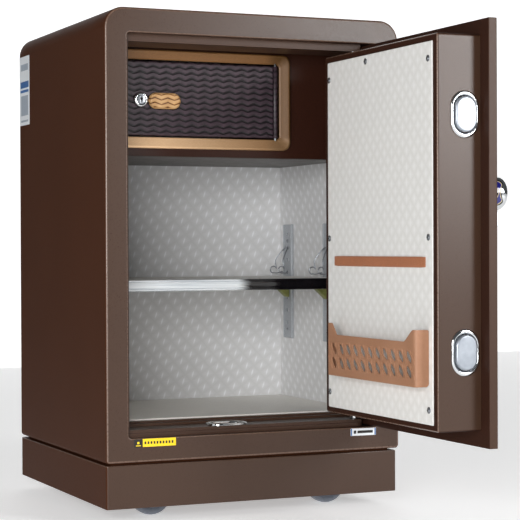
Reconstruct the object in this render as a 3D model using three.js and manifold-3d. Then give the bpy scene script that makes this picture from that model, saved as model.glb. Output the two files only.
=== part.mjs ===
// Upright fire-resistant document safe on a wheeled plinth.
// Millimetres, +Z up. The cabinet is drawn about its own centre line with
// y = 0 on the front face and z = 0 under the body, then the whole group is
// moved so that z = 0 is the floor and the origin is under the middle of the
// object's bounding box with the main door standing open.
import * as THREE from 'three';
import { mergeVertices } from 'three/addons/utils/BufferGeometryUtils.js';
import Module from 'manifold-3d';

const wasm = await Module();
wasm.setup();

// ---------------------------------------------------------------- dimensions
const BODY_W = 450, BODY_D = 413, BODY_H = 622;      // cabinet without plinth
const SHELL_T = 3, R_TOP = 28, R_BOT = 5;            // wrap sheet and its corners
const FRAME_T = 4;                                   // front frame sheet
const OPEN_X = 193, OPEN_Z0 = 33, OPEN_Z1 = 588;     // clear opening in the face
const JAMB_XL = -186, JAMB_XR = 203, JAMB_Z0 = 43, JAMB_Z1 = 577.5;
const JAMB_Y0 = 16, JAMB_Y1 = 82;                    // inner jamb, front and back
const IN_X = 203, IN_Z0 = 51, IN_Z1 = 597, IN_Y1 = 365; // lined interior
const PLINTH_Z0 = -62.6, PLINTH_Z1 = -3;
const WHEEL_R = 30, WHEEL_W = 20, WHEEL_X = 137, WHEEL_Y0 = 68, WHEEL_Y1 = 345;
const TRAIL = 12, FLOOR_Z = -82.5;                    // caster trail, floor level
const HINGE_X = 164.5, HINGE_Y = 25.5;               // main door pivot
const DOOR_X = 191, DOOR_T = 13, DOOR_Z0 = 35, DOOR_Z1 = 586;
const PAN_X0 = -171, PAN_X1 = 151, PAN_Y0 = 13.3, PAN_Y1 = 77, PAN_Z0 = 57, PAN_Z1 = 566;
const BOLT_Y = 37, BOLT_Z_UP = 463, BOLT_Z_LOW = 158, BOLT_TRAVEL = 20;
const FLOOR_BOLT_X = -33;
const KNOB_X = -131, KNOB_Z = 364, CRANK_R = 14.142;
const KEY_Z = 330;
const LOCKER_Y = 103, LOCKER_Z0 = 425;               // fascia front, underside
const LOCKER_PIVOT_X = 74.5, LOCKER_PIVOT_Y = 102;
const SHELF_Z0 = 232, SHELF_Z1 = 247, SHELF_Y0 = 95.3;
const RAIL_Z0 = 146.5, RAIL_Z1 = 330.5;
const GAP = 0.3;                                     // between touching pieces
// origin: middle of the bounding box, on the floor
const ORIGIN = [8.5, 41.5, FLOOR_Z];

// ------------------------------------------------------------------- helpers
const man = (g) => {
  const p = g.index ? g.clone() : g.clone();
  p.deleteAttribute('normal'); p.deleteAttribute('uv');
  const m = mergeVertices(p, 1e-4);
  return new wasm.Manifold(new wasm.Mesh({
    numProp: 3,
    vertProperties: new Float32Array(m.attributes.position.array),
    triVerts: new Uint32Array(m.index.array),
  }));
};
const geo = (s) => {
  const m = s.getMesh();
  const g = new THREE.BufferGeometry();
  g.setAttribute('position', new THREE.BufferAttribute(new Float32Array(m.vertProperties), 3));
  g.setIndex(new THREE.BufferAttribute(new Uint32Array(m.triVerts), 1));
  g.computeVertexNormals();
  return g;
};
const box = (x0, x1, y0, y1, z0, z1) => {
  const g = new THREE.BoxGeometry(x1 - x0, y1 - y0, z1 - z0);
  g.translate((x0 + x1) / 2, (y0 + y1) / 2, (z0 + z1) / 2);
  return man(g);
};
// closed outline from corner points with a radius at each corner
const outline = (pts, radii, seg = 5) => {
  const out = [];
  const n = pts.length;
  for (let i = 0; i < n; i++) {
    const p = new THREE.Vector2(...pts[i]);
    const a = new THREE.Vector2(...pts[(i + n - 1) % n]).sub(p);
    const b = new THREE.Vector2(...pts[(i + 1) % n]).sub(p);
    const r = radii[i];
    if (!r) { out.push(p); continue; }
    const la = a.length(), lb = b.length();
    a.divideScalar(la); b.divideScalar(lb);
    const half = Math.acos(Math.max(-1, Math.min(1, a.dot(b)))) / 2;
    const t = r / Math.tan(half);
    const c = a.clone().add(b).normalize().multiplyScalar(r / Math.sin(half)).add(p);
    const s = p.clone().addScaledVector(a, t), e = p.clone().addScaledVector(b, t);
    const a0 = Math.atan2(s.y - c.y, s.x - c.x);
    let da = Math.atan2(e.y - c.y, e.x - c.x) - a0;
    while (da > Math.PI) da -= 2 * Math.PI;
    while (da < -Math.PI) da += 2 * Math.PI;
    for (let k = 0; k <= seg; k++) {
      const w = a0 + (da * k) / seg;
      out.push(new THREE.Vector2(c.x + r * Math.cos(w), c.y + r * Math.sin(w)));
    }
  }
  return out;
};
const rect = (a0, a1, b0, b1, r = 0, seg = 5) =>
  outline([[a0, b0], [a1, b0], [a1, b1], [a0, b1]],
    Array.isArray(r) ? r : [r, r, r, r], seg);
// prism of an outline: plane 'xz' runs along y, 'xy' along z, 'yz' along x
const prism = (pts, plane, from, to) => {
  const g = new THREE.ExtrudeGeometry(new THREE.Shape(pts), { depth: to - from, bevelEnabled: false });
  if (plane === 'xz') { g.rotateX(Math.PI / 2); g.translate(0, to, 0); }
  if (plane === 'xy') g.translate(0, 0, from);
  if (plane === 'yz') { g.rotateX(Math.PI / 2); g.rotateZ(Math.PI / 2); g.translate(from, 0, 0); }
  return man(g);
};
const oval = (ca, cb, a, b, plane, from, to, seg = 6) =>
  prism(rect(ca - a / 2, ca + a / 2, cb - b / 2, cb + b / 2, Math.min(a, b) / 2 - 0.01, seg), plane, from, to);
// round bar: axis 'x', 'y' or 'z' through (c1, c2) of the other two coordinates
const bar = (r, axis, c1, c2, from, to, seg = 20) => {
  const g = new THREE.CylinderGeometry(r, r, to - from, seg);
  if (axis === 'z') { g.rotateX(Math.PI / 2); g.translate(c1, c2, (from + to) / 2); }
  if (axis === 'y') g.translate(c1, (from + to) / 2, c2);
  if (axis === 'x') { g.rotateZ(-Math.PI / 2); g.translate((from + to) / 2, c1, c2); }
  return man(g);
};
// turned piece: profile of [radius, height] pairs, starting and ending on the axis
const turned = (profile, seg = 24) => {
  const g = new THREE.LatheGeometry(profile.map(([r, h]) => new THREE.Vector2(r, h)), seg);
  return g;
};
const sum = (...s) => s.reduce((a, b) => a.add(b));
const cut = (a, ...s) => s.reduce((u, b) => u.subtract(b), a);

const root = new THREE.Group();
const put = (parent, name, solid, color, roughness = 0.6, metalness = 0) => {
  const g = solid.isBufferGeometry ? solid : geo(solid);
  const m = new THREE.Mesh(g, new THREE.MeshStandardMaterial({ color, roughness, metalness }));
  m.name = name;
  parent.add(m);
  return m;
};
const BROWN = 0x5f4a3f, LINING = 0xc9c7c2, GOLD = 0xb98450, DARK = 0x3d3038, TAN = 0xc9925f,
  CHROME = 0xd8dadc, STEEL = 0x9fa3a6, ZINC = 0x8d8a4c, WHEEL = 0x7c8288, FILL = 0xa9a59a;

// --------------------------------------------------------------- the cabinet
const hw = BODY_W / 2;
const bodyLine = (o) => rect(-hw + o, hw - o, o, BODY_H - o,
  [Math.max(R_BOT - o, 1.5), Math.max(R_BOT - o, 1.5), R_TOP - o, R_TOP - o], 6);

put(root, 'outer_shell', cut(
  prism(bodyLine(0), 'xz', FRAME_T + GAP, BODY_D - 3 - GAP),
  prism(bodyLine(SHELL_T), 'xz', 0, BODY_D),
), BROWN, 0.55, 0.2);

put(root, 'back_panel', prism(bodyLine(0), 'xz', BODY_D - 3, BODY_D), BROWN, 0.55, 0.2);

// front frame: face ring, door rebate, step and inner jamb folded in one sheet,
// with a stepped sill and slots that take the bolts
// room for the plate's hinge edge to turn in, around the two pivot bosses
const hingeRecess = cut(box(HINGE_X, JAMB_XR, 13, 56, OPEN_Z0, OPEN_Z1),
  bar(11.8, 'z', HINGE_X, HINGE_Y, OPEN_Z0 - 1, OPEN_Z1 + 1, 28),
  box(HINGE_X - 1, HINGE_X + 11.8, HINGE_Y, 57, OPEN_Z0 - 1, OPEN_Z1 + 1));
const boltSlot = (z) => oval(BOLT_Y, z, 35, 50, 'yz', JAMB_XL - 4, JAMB_XL + 1);
put(root, 'front_frame', cut(
  sum(
    cut(prism(bodyLine(0), 'xz', 0, FRAME_T),
      prism(rect(-OPEN_X, OPEN_X, OPEN_Z0, OPEN_Z1, 5), 'xz', -1, FRAME_T + 1)),
    cut(box(-OPEN_X - 3, JAMB_XR + 3, FRAME_T - 0.5, JAMB_Y0 + 3, OPEN_Z0 - 3, OPEN_Z1 + 3),
      box(-OPEN_X, JAMB_XR, 0, JAMB_Y0, OPEN_Z0, OPEN_Z1),
      box(JAMB_XL, JAMB_XR, 0, JAMB_Y1, JAMB_Z0, JAMB_Z1)),
    cut(box(JAMB_XL - 3, JAMB_XR + 3, JAMB_Y0, JAMB_Y1, JAMB_Z0 - 3, JAMB_Z1 + 3),
      box(JAMB_XL, JAMB_XR, 0, JAMB_Y1 + 1, JAMB_Z0, JAMB_Z1)),
    box(-OPEN_X - 1, JAMB_XR + 1, 13.5, JAMB_Y0 + 1, OPEN_Z0 - 1, 38.5),
    box(JAMB_XL - 1, JAMB_XR + 1, 60, JAMB_Y1, JAMB_Z0 - 1, 46.5),
    box(JAMB_XL - 1, JAMB_XR + 1, 72, JAMB_Y1, JAMB_Z0 - 1, 49),
    box(HINGE_X - 8, JAMB_XR + 3, JAMB_Y0, 59, OPEN_Z0 - 3, JAMB_Z0),
    box(HINGE_X - 8, JAMB_XR + 3, JAMB_Y0, 59, JAMB_Z1, OPEN_Z1 + 3),
  ),
  hingeRecess,
  boltSlot(BOLT_Z_UP), boltSlot(BOLT_Z_LOW),
  oval(FLOOR_BOLT_X, BOLT_Y, 49, 31, 'xy', JAMB_Z0 - 4, JAMB_Z0 + 1),
  bar(5.6, 'z', HINGE_X, HINGE_Y, JAMB_Z1 - 1, JAMB_Z1 + 11),
  bar(5.6, 'z', HINGE_X, HINGE_Y, JAMB_Z0 - 9, JAMB_Z0 + 1),
), BROWN, 0.55, 0.2);

// cast insulation between the sheet steel and the lining
const LT = 4;                                        // lining boards
const FG = 3 + GAP;                                  // jamb sheet and its gap
put(root, 'fire_fill', cut(
  prism(bodyLine(SHELL_T + GAP), 'xz', FRAME_T + GAP, BODY_D - 3 - GAP),
  box(-IN_X - LT - GAP, IN_X + LT + GAP, JAMB_Y1, IN_Y1 + LT + GAP, IN_Z0 - LT - GAP, IN_Z1 + LT + GAP),
  box(-OPEN_X - FG, JAMB_XR + FG, 0, JAMB_Y0 + FG, OPEN_Z0 - FG, OPEN_Z1 + FG),
  box(JAMB_XL - FG, JAMB_XR + FG, 0, JAMB_Y1 + GAP, JAMB_Z0 - FG, JAMB_Z1 + FG),
  box(HINGE_X - 8 - GAP, JAMB_XR + FG, 0, 59 + GAP, OPEN_Z0 - FG, OPEN_Z1 + FG),
  // pockets for the thrown bolts
  oval(BOLT_Y, BOLT_Z_UP, 35, 50, 'yz', JAMB_XL - 20, JAMB_XL),
  oval(BOLT_Y, BOLT_Z_LOW, 35, 50, 'yz', JAMB_XL - 20, JAMB_XL),
  oval(FLOOR_BOLT_X, BOLT_Y, 49, 31, 'xy', JAMB_Z0 - 16, JAMB_Z0),
), FILL, 0.95);

put(root, 'liner_left', box(-IN_X - LT, -IN_X, JAMB_Y1 + GAP, IN_Y1, IN_Z0 - LT, IN_Z1 + LT), LINING, 0.7);
put(root, 'liner_right', box(IN_X, IN_X + LT, JAMB_Y1 + GAP, IN_Y1, IN_Z0 - LT, IN_Z1 + LT), LINING, 0.7);
put(root, 'liner_back', box(-IN_X - LT, IN_X + LT, IN_Y1 + GAP, IN_Y1 + LT, IN_Z0 - LT, IN_Z1 + LT), LINING, 0.7);
put(root, 'floor_panel', box(-IN_X + GAP, IN_X - GAP, JAMB_Y1 + GAP, IN_Y1, IN_Z0 - LT, IN_Z0), LINING, 0.6);

put(root, 'sill_receiver', cut(
  oval(FLOOR_BOLT_X, BOLT_Y, 61, 38, 'xy', JAMB_Z0 + GAP, JAMB_Z0 + 2.8, 8),
  oval(FLOOR_BOLT_X, BOLT_Y, 48, 29, 'xy', JAMB_Z0 - 1, JAMB_Z0 + 4, 8),
), CHROME, 0.15, 1);

// -------------------------------------------------------------- inner locker
const LX0 = -180, LX1 = 81, LZ0 = 452, LZ1 = 563;     // clear frame opening
const rodBore = bar(2.4, 'z', LOCKER_PIVOT_X, LOCKER_PIVOT_Y, 445, 570, 14);
put(root, 'locker_housing', cut(
  sum(
    cut(box(-IN_X + GAP, IN_X - GAP, LOCKER_Y, LOCKER_Y + 2, LOCKER_Z0, IN_Z1 - GAP),
      box(LX0 - 0.5, LX1 + 0.5, LOCKER_Y - 1, LOCKER_Y + 3, LZ0 - 0.5, LZ1 + 0.5)),
    box(-IN_X + GAP, IN_X - GAP, LOCKER_Y, IN_Y1 - GAP, LOCKER_Z0, LOCKER_Z0 + 2),
    box(97, 99, LOCKER_Y, IN_Y1 - GAP, LOCKER_Z0, IN_Z1 - GAP),
    box(-IN_X + GAP, IN_X - GAP, JAMB_Y1 + GAP, IN_Y1 - GAP, IN_Z1 - 2.3, IN_Z1 - GAP),
  ), rodBore), BROWN, 0.55, 0.2);

// moulded surround with a sloping inner border
const bevelRing = () => {
  const o = rect(-197, 97, 436, 577, 12, 6), i = rect(LX0, LX1, LZ0, LZ1, 7, 6);
  const loops = [[o, LOCKER_Y - GAP], [o, LOCKER_Y - 4.5],
    [rect(-193, 93, 440, 573, 10, 6), LOCKER_Y - 7.5],
    [rect(-184, 84.5, 448.5, 566.5, 8, 6), LOCKER_Y - 6],
    [i, LOCKER_Y - 3.5], [i, LOCKER_Y - GAP]];
  const n = o.length, pos = [], idx = [];
  loops.forEach(([l, y]) => l.forEach((p) => pos.push(p.x, y, p.y)));
  for (let k = 0; k < loops.length; k++) {
    const a = k * n, b = ((k + 1) % loops.length) * n;
    for (let j = 0; j < n; j++) {
      const q = (j + 1) % n;
      idx.push(a + j, b + q, b + j, a + j, a + q, b + q);
    }
  }
  const g = new THREE.BufferGeometry();
  g.setAttribute('position', new THREE.Float32BufferAttribute(pos, 3));
  g.setIndex(idx);
  return g;
};
const ringSolid = (g) => {
  let s = man(g);
  if (s.volume() < 0) {                              // faces point inward: turn them
    const ix = g.index.array.slice();
    for (let i = 0; i < ix.length; i += 3) { const t = ix[i]; ix[i] = ix[i + 1]; ix[i + 1] = t; }
    g.setIndex(new THREE.BufferAttribute(new Uint32Array(ix), 1));
    s = man(g);
  }
  return s;
};
put(root, 'locker_frame', cut(ringSolid(bevelRing()), rodBore), GOLD, 0.4, 0.3);
put(root, 'locker_hinge_rod', bar(2, 'z', LOCKER_PIVOT_X, LOCKER_PIVOT_Y, 446, 569, 14), STEEL, 0.4, 1);

const lockerDoor = new THREE.Group();
root.add(lockerDoor);
const LK_X = -138, LK_Z = 505;                        // key cylinder
put(lockerDoor, 'locker_door', cut(
  sum(box(-177, LOCKER_PIVOT_X, 98, 106, 454.5, 560.5),
    bar(4, 'z', LOCKER_PIVOT_X, LOCKER_PIVOT_Y, 454.5, 560.5, 20)),
  bar(2.5, 'z', LOCKER_PIVOT_X, LOCKER_PIVOT_Y, 450, 570, 14),
  bar(6.6, 'y', LK_X, LK_Z, 90, 110, 20),
), DARK, 0.5);
put(lockerDoor, 'locker_pull', oval(-102, 504, 49, 23, 'xz', 91.5, 98 - GAP, 7), TAN, 0.5);
put(lockerDoor, 'locker_lock_ring', cut(bar(10.5, 'y', LK_X, LK_Z, 94, 98 - GAP, 24),
  bar(6.6, 'y', LK_X, LK_Z, 90, 100, 20)), CHROME, 0.15, 1);
put(lockerDoor, 'locker_lock_plug', cut(
  sum(bar(6.2, 'y', LK_X, LK_Z, 93, 112, 20),
    prism(rect(LK_X - 6, LK_X + 6, LK_Z - 8, LK_Z + 50, 5, 3), 'xz', 109, 112)),
  box(LK_X - 0.8, LK_X + 0.8, 92, 98, LK_Z - 4.2, LK_Z + 4.2),
), STEEL, 0.35, 1);

// -------------------------------------------------- shelf and its hardware
put(root, 'shelf_board', box(-IN_X + 4.2, IN_X - 4.2, SHELF_Y0, 362, SHELF_Z0, SHELF_Z1), LINING, 0.6);
{
  const p = [[95, 231.6], [95, 247.4]];
  const ridges = 3, h = 15.8 / ridges;
  for (let k = 0; k < ridges; k++) {
    const zc = 247.4 - h * (k + 0.5);
    for (let a = 0; a <= 4; a++) {
      const w = Math.PI / 2 - (Math.PI * a) / 4;
      p.push([93.4 - 2 * Math.cos(w), zc + (h / 2 - 0.15) * Math.sin(w)]);
    }
  }
  put(root, 'shelf_trim', prism(p.map(([y, z]) => new THREE.Vector2(y, z)), 'yz', -IN_X + 0.6, IN_X - 0.6), CHROME, 0.12, 1);
}
const tube = (pts, r, seg) => {
  const c = new THREE.CatmullRomCurve3(pts.map((q) => new THREE.Vector3(...q)), false, 'centripetal');
  const sh = [];
  for (let k = 0; k < 5; k++) sh.push(new THREE.Vector2(r * Math.cos(k * 1.2566), r * Math.sin(k * 1.2566)));
  return new THREE.ExtrudeGeometry(new THREE.Shape(sh), { steps: seg, bevelEnabled: false, extrudePath: c });
};
for (const [side, sx] of [['left', -1], ['right', 1]]) {
  for (const [place, yc] of [['front', 182], ['rear', 328.5]]) {
    const m = (x0, x1) => (sx > 0 ? [x0, x1] : [-x1, -x0]);
    const slots = [];
    for (let k = 0; k < 8; k++) {
      const z = 171.2 + k * 20.4;
      slots.push(box(...m(196, 205), yc - 5, yc + 5, z - 2.6, z + 2.6));
    }
    put(root, `rail_${side}_${place}`, cut(
      sum(box(...m(199.2, 202.7), yc - 15, yc + 15, RAIL_Z0, RAIL_Z1)), ...slots), STEEL, 0.4, 0.9);
    const tri = [[sx * 198.9, 231.7], [sx * 178, 231.7], [sx * 178, 229], [sx * 195.5, 213], [sx * 198.9, 213]]
      .map(([x, z]) => new THREE.Vector2(x, z));
    put(root, `shelf_bracket_${side}_${place}`, prism(sx > 0 ? tri : tri.reverse(), 'xz', yc - 7, yc + 7), ZINC, 0.45, 0.8);
    // sprung wire clip: two legs from the rail that curl into loops on the shelf
    const q = [];
    const leg = (dy0, dy1, rev) => {
      const l = [];
      l.push([194, yc + dy1 * 0.55, 254]);
      l.push([187, yc + dy1 * 0.95 + Math.sign(dy1) * 1.6, 251.6]);
      for (let a = 0; a <= 6; a++) {
        const w = -Math.PI / 2 + 0.35 - (a / 6) * Math.PI * 1.45;
        l.push([181 + 5.4 * Math.cos(w), yc + dy1 + Math.sign(dy1) * 1.4 * (1 - a / 3), 257.2 + 5.4 * Math.sin(w)]);
      }
      l.push([184, yc + dy1 * 0.9, 272]);
      l.push([191, yc + (dy0 + dy1) * 0.5, 285]);
      l.push([196.6, yc + dy0, 292.5]);
      return rev ? l.reverse() : l;
    };
    q.push(...leg(-4, -16, false), ...leg(4, 16, true));
    const g = tube(q.map(([x, y, z]) => [sx * x, y, z]), 1.1, 44);
    put(root, `shelf_clip_${side}_${place}`, g, STEEL, 0.3, 1);
  }
}

// ------------------------------------------------------- plinth and casters
const px0 = -224.4, px1 = 220.6, py0 = 1.5, py1 = 412.2;   // sits a touch to the left of centre
const casterAt = [];
for (const [sx, nx] of [[-1, 'left'], [1, 'right']]) {
  for (const [y, ny] of [[WHEEL_Y0, 'front'], [WHEEL_Y1, 'rear']]) casterAt.push([sx, y, `${ny}_${nx}`]);
}
put(root, 'plinth', cut(
  sum(
    prism(rect(px0, px1, py0, py1, 3, 3), 'xy', PLINTH_Z0, PLINTH_Z1),
    prism(rect(px0 + 9, px1 - 9, py0 + 9, py1 - 9, 3, 3), 'xy', PLINTH_Z1 - 1, -GAP),
  ),
  box(px0 + 3, px1 - 3, py0 + 3, py1 - 3, PLINTH_Z0 - 1, PLINTH_Z1 - 3),
  ...casterAt.map(([sx, y]) => bar(6, 'z', sx * (WHEEL_X + TRAIL), y, -8, 1, 16)),
), BROWN, 0.6, 0.2);

const wheelZ = FLOOR_Z + WHEEL_R;
for (const [sx, y, name] of casterAt) {
  const pivot = new THREE.Group();
  pivot.position.set(sx * (WHEEL_X + TRAIL), y, 0);
  root.add(pivot);
  // pivot frame: the wheel axle lies along y, a trail's length toward the middle
  const t = -sx * TRAIL;
  const cheek = (y0, y1) => prism([
    [-11, -8], [11, -8], [11, -16], [t + 9, wheelZ + 6], [t + 6, wheelZ - 7], [t - 6, wheelZ - 7], [t - 9, wheelZ + 6], [-11, -16],
  ].map(([x, z]) => new THREE.Vector2(x, z)).reverse(), 'xz', y0, y1);
  put(pivot, `caster_fork_${name}`, sum(
    bar(5.5, 'z', 0, 0, -8, -1.5, 12),
    bar(18, 'z', 0, 0, -9.5, -6.4, 18),
    box(-11, 11, -15, 15, -11.5, -8.5),
    cheek(-15, -12.8), cheek(12.8, 15),
    bar(3.6, 'y', t, wheelZ, -17, 17, 10),
  ), STEEL, 0.45, 0.9);
  const w = new THREE.Group();
  w.position.set(t, 0, wheelZ);
  pivot.add(w);
  put(w, `caster_wheel_${name}`, cut(
    sum(bar(WHEEL_R, 'y', 0, 0, -WHEEL_W / 2 + 2.5, WHEEL_W / 2 - 2.5, 30),
      bar(WHEEL_R - 2.5, 'y', 0, 0, -WHEEL_W / 2, WHEEL_W / 2, 30),
      bar(8, 'y', 0, 0, -12, 12, 12)),
    bar(4.2, 'y', 0, 0, -14, 14, 12),
  ), WHEEL, 0.35);
}

// ---------------------------------------------------------------- main door
// drawn shut, then turned a quarter turn about its pivot to stand open
const doorTurn = new THREE.Group();
doorTurn.position.set(HINGE_X, HINGE_Y, 0);
doorTurn.rotation.z = Math.PI / 2;
root.add(doorTurn);
const door = new THREE.Group();
door.position.set(-HINGE_X, -HINGE_Y, 0);
doorTurn.add(door);

put(door, 'door_plate', cut(
  prism(outline([[-DOOR_X, 0], [DOOR_X, 0], [DOOR_X, DOOR_T], [-DOOR_X, DOOR_T]], [2, 8, 1, 1], 4), 'xy', DOOR_Z0, DOOR_Z1),
  box(-165, 145, 7, 20, 63, 560),
  bar(7.8, 'y', KNOB_X, KNOB_Z, -1, 10),
  bar(4.6, 'y', KNOB_X, KEY_Z, -1, 10, 16),
  bar(6, 'y', KNOB_X, 470, -1, 10, 16),
), BROWN, 0.55, 0.2);

put(door, 'door_pan', cut(
  sum(
    cut(box(PAN_X0, PAN_X1, PAN_Y0, PAN_Y1, PAN_Z0, PAN_Z1),
      box(PAN_X0 + 2.5, PAN_X1 - 2.5, 0, 90, PAN_Z0 + 2.5, PAN_Z1 - 2.5)),
    cut(box(PAN_X0 + 1, PAN_X1 - 1, PAN_Y1 - 5, PAN_Y1, PAN_Z0 + 1, PAN_Z1 - 1),
      box(-150, 139, 60, 90, 74, 547),
      box(-160.3, 141.3, PAN_Y1 - 2.5, 90, 64.7, 557.3)),
  ),
  oval(BOLT_Y, BOLT_Z_UP, 33, 48, 'yz', PAN_X0 - 1, PAN_X0 + 4),
  oval(BOLT_Y, BOLT_Z_LOW, 33, 48, 'yz', PAN_X0 - 1, PAN_X0 + 4),
  oval(FLOOR_BOLT_X, BOLT_Y, 46, 28, 'xy', PAN_Z0 - 1, PAN_Z0 + 4),
), BROWN, 0.55, 0.2);

put(door, 'inner_cover', box(-160, 141, PAN_Y1 - 2.2, PAN_Y1 + 1.3, 65, 557), LINING, 0.6);
const CF = PAN_Y1 + 1.3 + GAP;                        // mounting face of the cover
put(door, 'cover_strap', prism(rect(-143, 117, 267, 281, 1.5, 2), 'xz', CF, CF + 2.6), 0x9c5b3d, 0.55);

// open-topped pocket: bottom, two ends and a front wall that dips between two horns
{
  const front = [[-151, 114], [106, 114], [106, 187], [93.5, 187], [78.5, 171], [-121.5, 171], [-142, 186.4], [-151, 187]];
  const wall = prism(front.map(([x, z]) => new THREE.Vector2(x, z)), 'xz', CF, 99);
  put(door, 'document_basket', cut(wall, box(-148.5, 103.5, CF - 1, 96.5, 116.5, 200), box(103, 107, CF - 1, 96.5, 165, 200)), TAN, 0.55);
}

const hingeBar = cut(box(PAN_X1 + 0.4, 178, 13.4, 37.5, PAN_Z0, PAN_Z1),
  bar(5.3, 'z', HINGE_X, HINGE_Y, PAN_Z1 - 24, PAN_Z1 + 1),
  bar(5.3, 'z', HINGE_X, HINGE_Y, PAN_Z0 - 1, PAN_Z0 + 24));
put(door, 'hinge_bar', hingeBar, BROWN, 0.55, 0.3);
put(door, 'hinge_pin_top', bar(5, 'z', HINGE_X, HINGE_Y, PAN_Z1 - 23, 587), STEEL, 0.3, 1);
put(door, 'hinge_pin_bottom', bar(5, 'z', HINGE_X, HINGE_Y, 35.5, PAN_Z0 + 23), STEEL, 0.3, 1);

for (const [n, z] of [['upper', BOLT_Z_UP], ['lower', BOLT_Z_LOW]]) {
  put(door, `escutcheon_${n}`, cut(
    oval(BOLT_Y, z, 41, 61, 'yz', PAN_X0 - 2.5, PAN_X0 - GAP, 8),
    oval(BOLT_Y, z, 33, 48, 'yz', PAN_X0 - 5, PAN_X0 + 1, 8)), CHROME, 0.15, 1);
}
put(door, 'escutcheon_bottom', cut(
  oval(FLOOR_BOLT_X, BOLT_Y, 60, 40, 'xy', PAN_Z0 - 2.2, PAN_Z0 - GAP, 8),
  oval(FLOOR_BOLT_X, BOLT_Y, 46, 28, 'xy', PAN_Z0 - 4, PAN_Z0 + 1, 8)), CHROME, 0.15, 1);

// boltwork: the crank's upper pin draws the carriage sideways and its lower
// pin drives the floor bolt down, each through a slot across its line of travel
put(door, 'bolt_carriage', cut(
  sum(box(-146, -140, 30, 44, 120, 500), box(-141, -112, 31, 34, 365, 387)),
  box(-124.4, -117.6, 30, 35, 370, 382.4),
), STEEL, 0.4, 0.9);
for (const [n, z] of [['upper', BOLT_Z_UP], ['lower', BOLT_Z_LOW]]) {
  put(door, `bolt_${n}`, oval(BOLT_Y, z, 31, 46, 'yz', -177, -146.3, 8), CHROME, 0.12, 1);
}
put(door, 'bolt_floor', cut(
  sum(
    oval(FLOOR_BOLT_X, BOLT_Y, 44, 26, 'xy', 53, 94, 8),
    box(FLOOR_BOLT_X - 5, FLOOR_BOLT_X + 5, 26, 29, 80, 310),
    box(-153, FLOOR_BOLT_X + 5, 26, 29, 300, 310),
    box(-153, -143, 26, 29, 300, 379.5),
    box(-153, -130.5, 26, 29, 368.5, 379.5),
  ),
  box(-148.4, -137.6, 25, 30, 370.8, 377.2),
), CHROME, 0.2, 1);
put(door, 'lock_case', box(-100, -8, 13.6, 58, 395, 520), STEEL, 0.5, 0.8);

put(door, 'drive_crank', sum(
  bar(7, 'y', KNOB_X, KNOB_Z, -12, 20.5),
  bar(20, 'y', KNOB_X, KNOB_Z, 20, 24, 28),
  bar(2.5, 'y', KNOB_X + CRANK_R * Math.SQRT1_2, KNOB_Z + CRANK_R * Math.SQRT1_2, 23.5, 35, 14),
  bar(2.5, 'y', KNOB_X - CRANK_R * Math.SQRT1_2, KNOB_Z + CRANK_R * Math.SQRT1_2, 23.5, 29.6, 14),
), STEEL, 0.35, 1);

// outer lock furniture
put(door, 'lock_plate', cut(
  prism(rect(-166, -96, 306, 522, 16, 5), 'xz', -3.3, -GAP),
  bar(7.8, 'y', KNOB_X, KNOB_Z, -5, 1),
  bar(4.6, 'y', KNOB_X, KEY_Z, -5, 1, 16),
), 0x2b2b2e, 0.3, 0.4);
put(door, 'keypad', prism(rect(-161, -101, 410, 512, 11, 5), 'xz', -9.5, -3.6), 0x16171a, 0.2);
{
  // hollow-backed dial knob
  const prof = [[7.3, 6], [15, 6], [15, 9], [20.5, 11], [23, 15.5], [23, 33], [21.5, 38], [17, 41.5], [9, 43.6], [0, 44], [0, 13], [7.3, 13]];
  const g = turned([...prof, prof[0]], 28);
  const m = ringSolid(mergeVertices((() => { g.deleteAttribute('normal'); g.deleteAttribute('uv'); return g; })(), 1e-4));
  const k = geo(m);
  k.rotateX(Math.PI);                                // the profile's height points outward, toward -y
  k.translate(KNOB_X, 0, KNOB_Z);
  put(door, 'knob', k, CHROME, 0.12, 1);
}
put(door, 'key', sum(
  prism(rect(KNOB_X - 1.2, KNOB_X + 1.2, KEY_Z - 10, KEY_Z + 10, 0, 1), 'xz', -37.5, -17.5),
  box(KNOB_X - 1.2, KNOB_X + 1.2, -18.5, -3.6, KEY_Z - 3.4, KEY_Z + 3.4),
  box(KNOB_X - 1.2, KNOB_X + 1.2, -4, 6, KEY_Z - 3.4, KEY_Z + 3.4),
), STEEL, 0.3, 1);

root.position.set(-ORIGIN[0], -ORIGIN[1], -ORIGIN[2]);
const object = new THREE.Group();
object.add(root);
export default object;
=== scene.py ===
import bpy, bmesh, math, random
from mathutils import Vector, Matrix, noise


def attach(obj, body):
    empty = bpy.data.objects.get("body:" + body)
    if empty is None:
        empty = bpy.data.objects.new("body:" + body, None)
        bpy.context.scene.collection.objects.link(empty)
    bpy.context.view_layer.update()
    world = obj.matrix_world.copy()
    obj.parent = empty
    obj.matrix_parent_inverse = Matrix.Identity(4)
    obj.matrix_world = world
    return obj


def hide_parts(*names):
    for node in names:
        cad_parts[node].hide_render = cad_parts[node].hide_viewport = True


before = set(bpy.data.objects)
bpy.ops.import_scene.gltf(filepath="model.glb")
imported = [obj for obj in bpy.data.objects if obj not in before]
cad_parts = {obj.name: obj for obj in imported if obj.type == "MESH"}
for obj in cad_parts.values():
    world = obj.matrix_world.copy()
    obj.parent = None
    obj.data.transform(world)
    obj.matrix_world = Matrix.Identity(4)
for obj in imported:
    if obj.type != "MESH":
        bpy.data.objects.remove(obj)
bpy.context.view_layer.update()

# ------------------------------------------------------------------ frames
# C: cabinet drawing (mm) to row metres.  D: door drawn shut (mm) to its
# place at rest, standing open a quarter turn.
MC = Matrix(((.001, 0, 0, -.0085), (0, .001, 0, -.0415), (0, 0, .001, .0825), (0, 0, 0, 1)))
MD = Matrix(((0, -.001, 0, .1815), (.001, 0, 0, -.1805), (0, 0, .001, .0825), (0, 0, 0, 1)))
PI = math.pi

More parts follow.
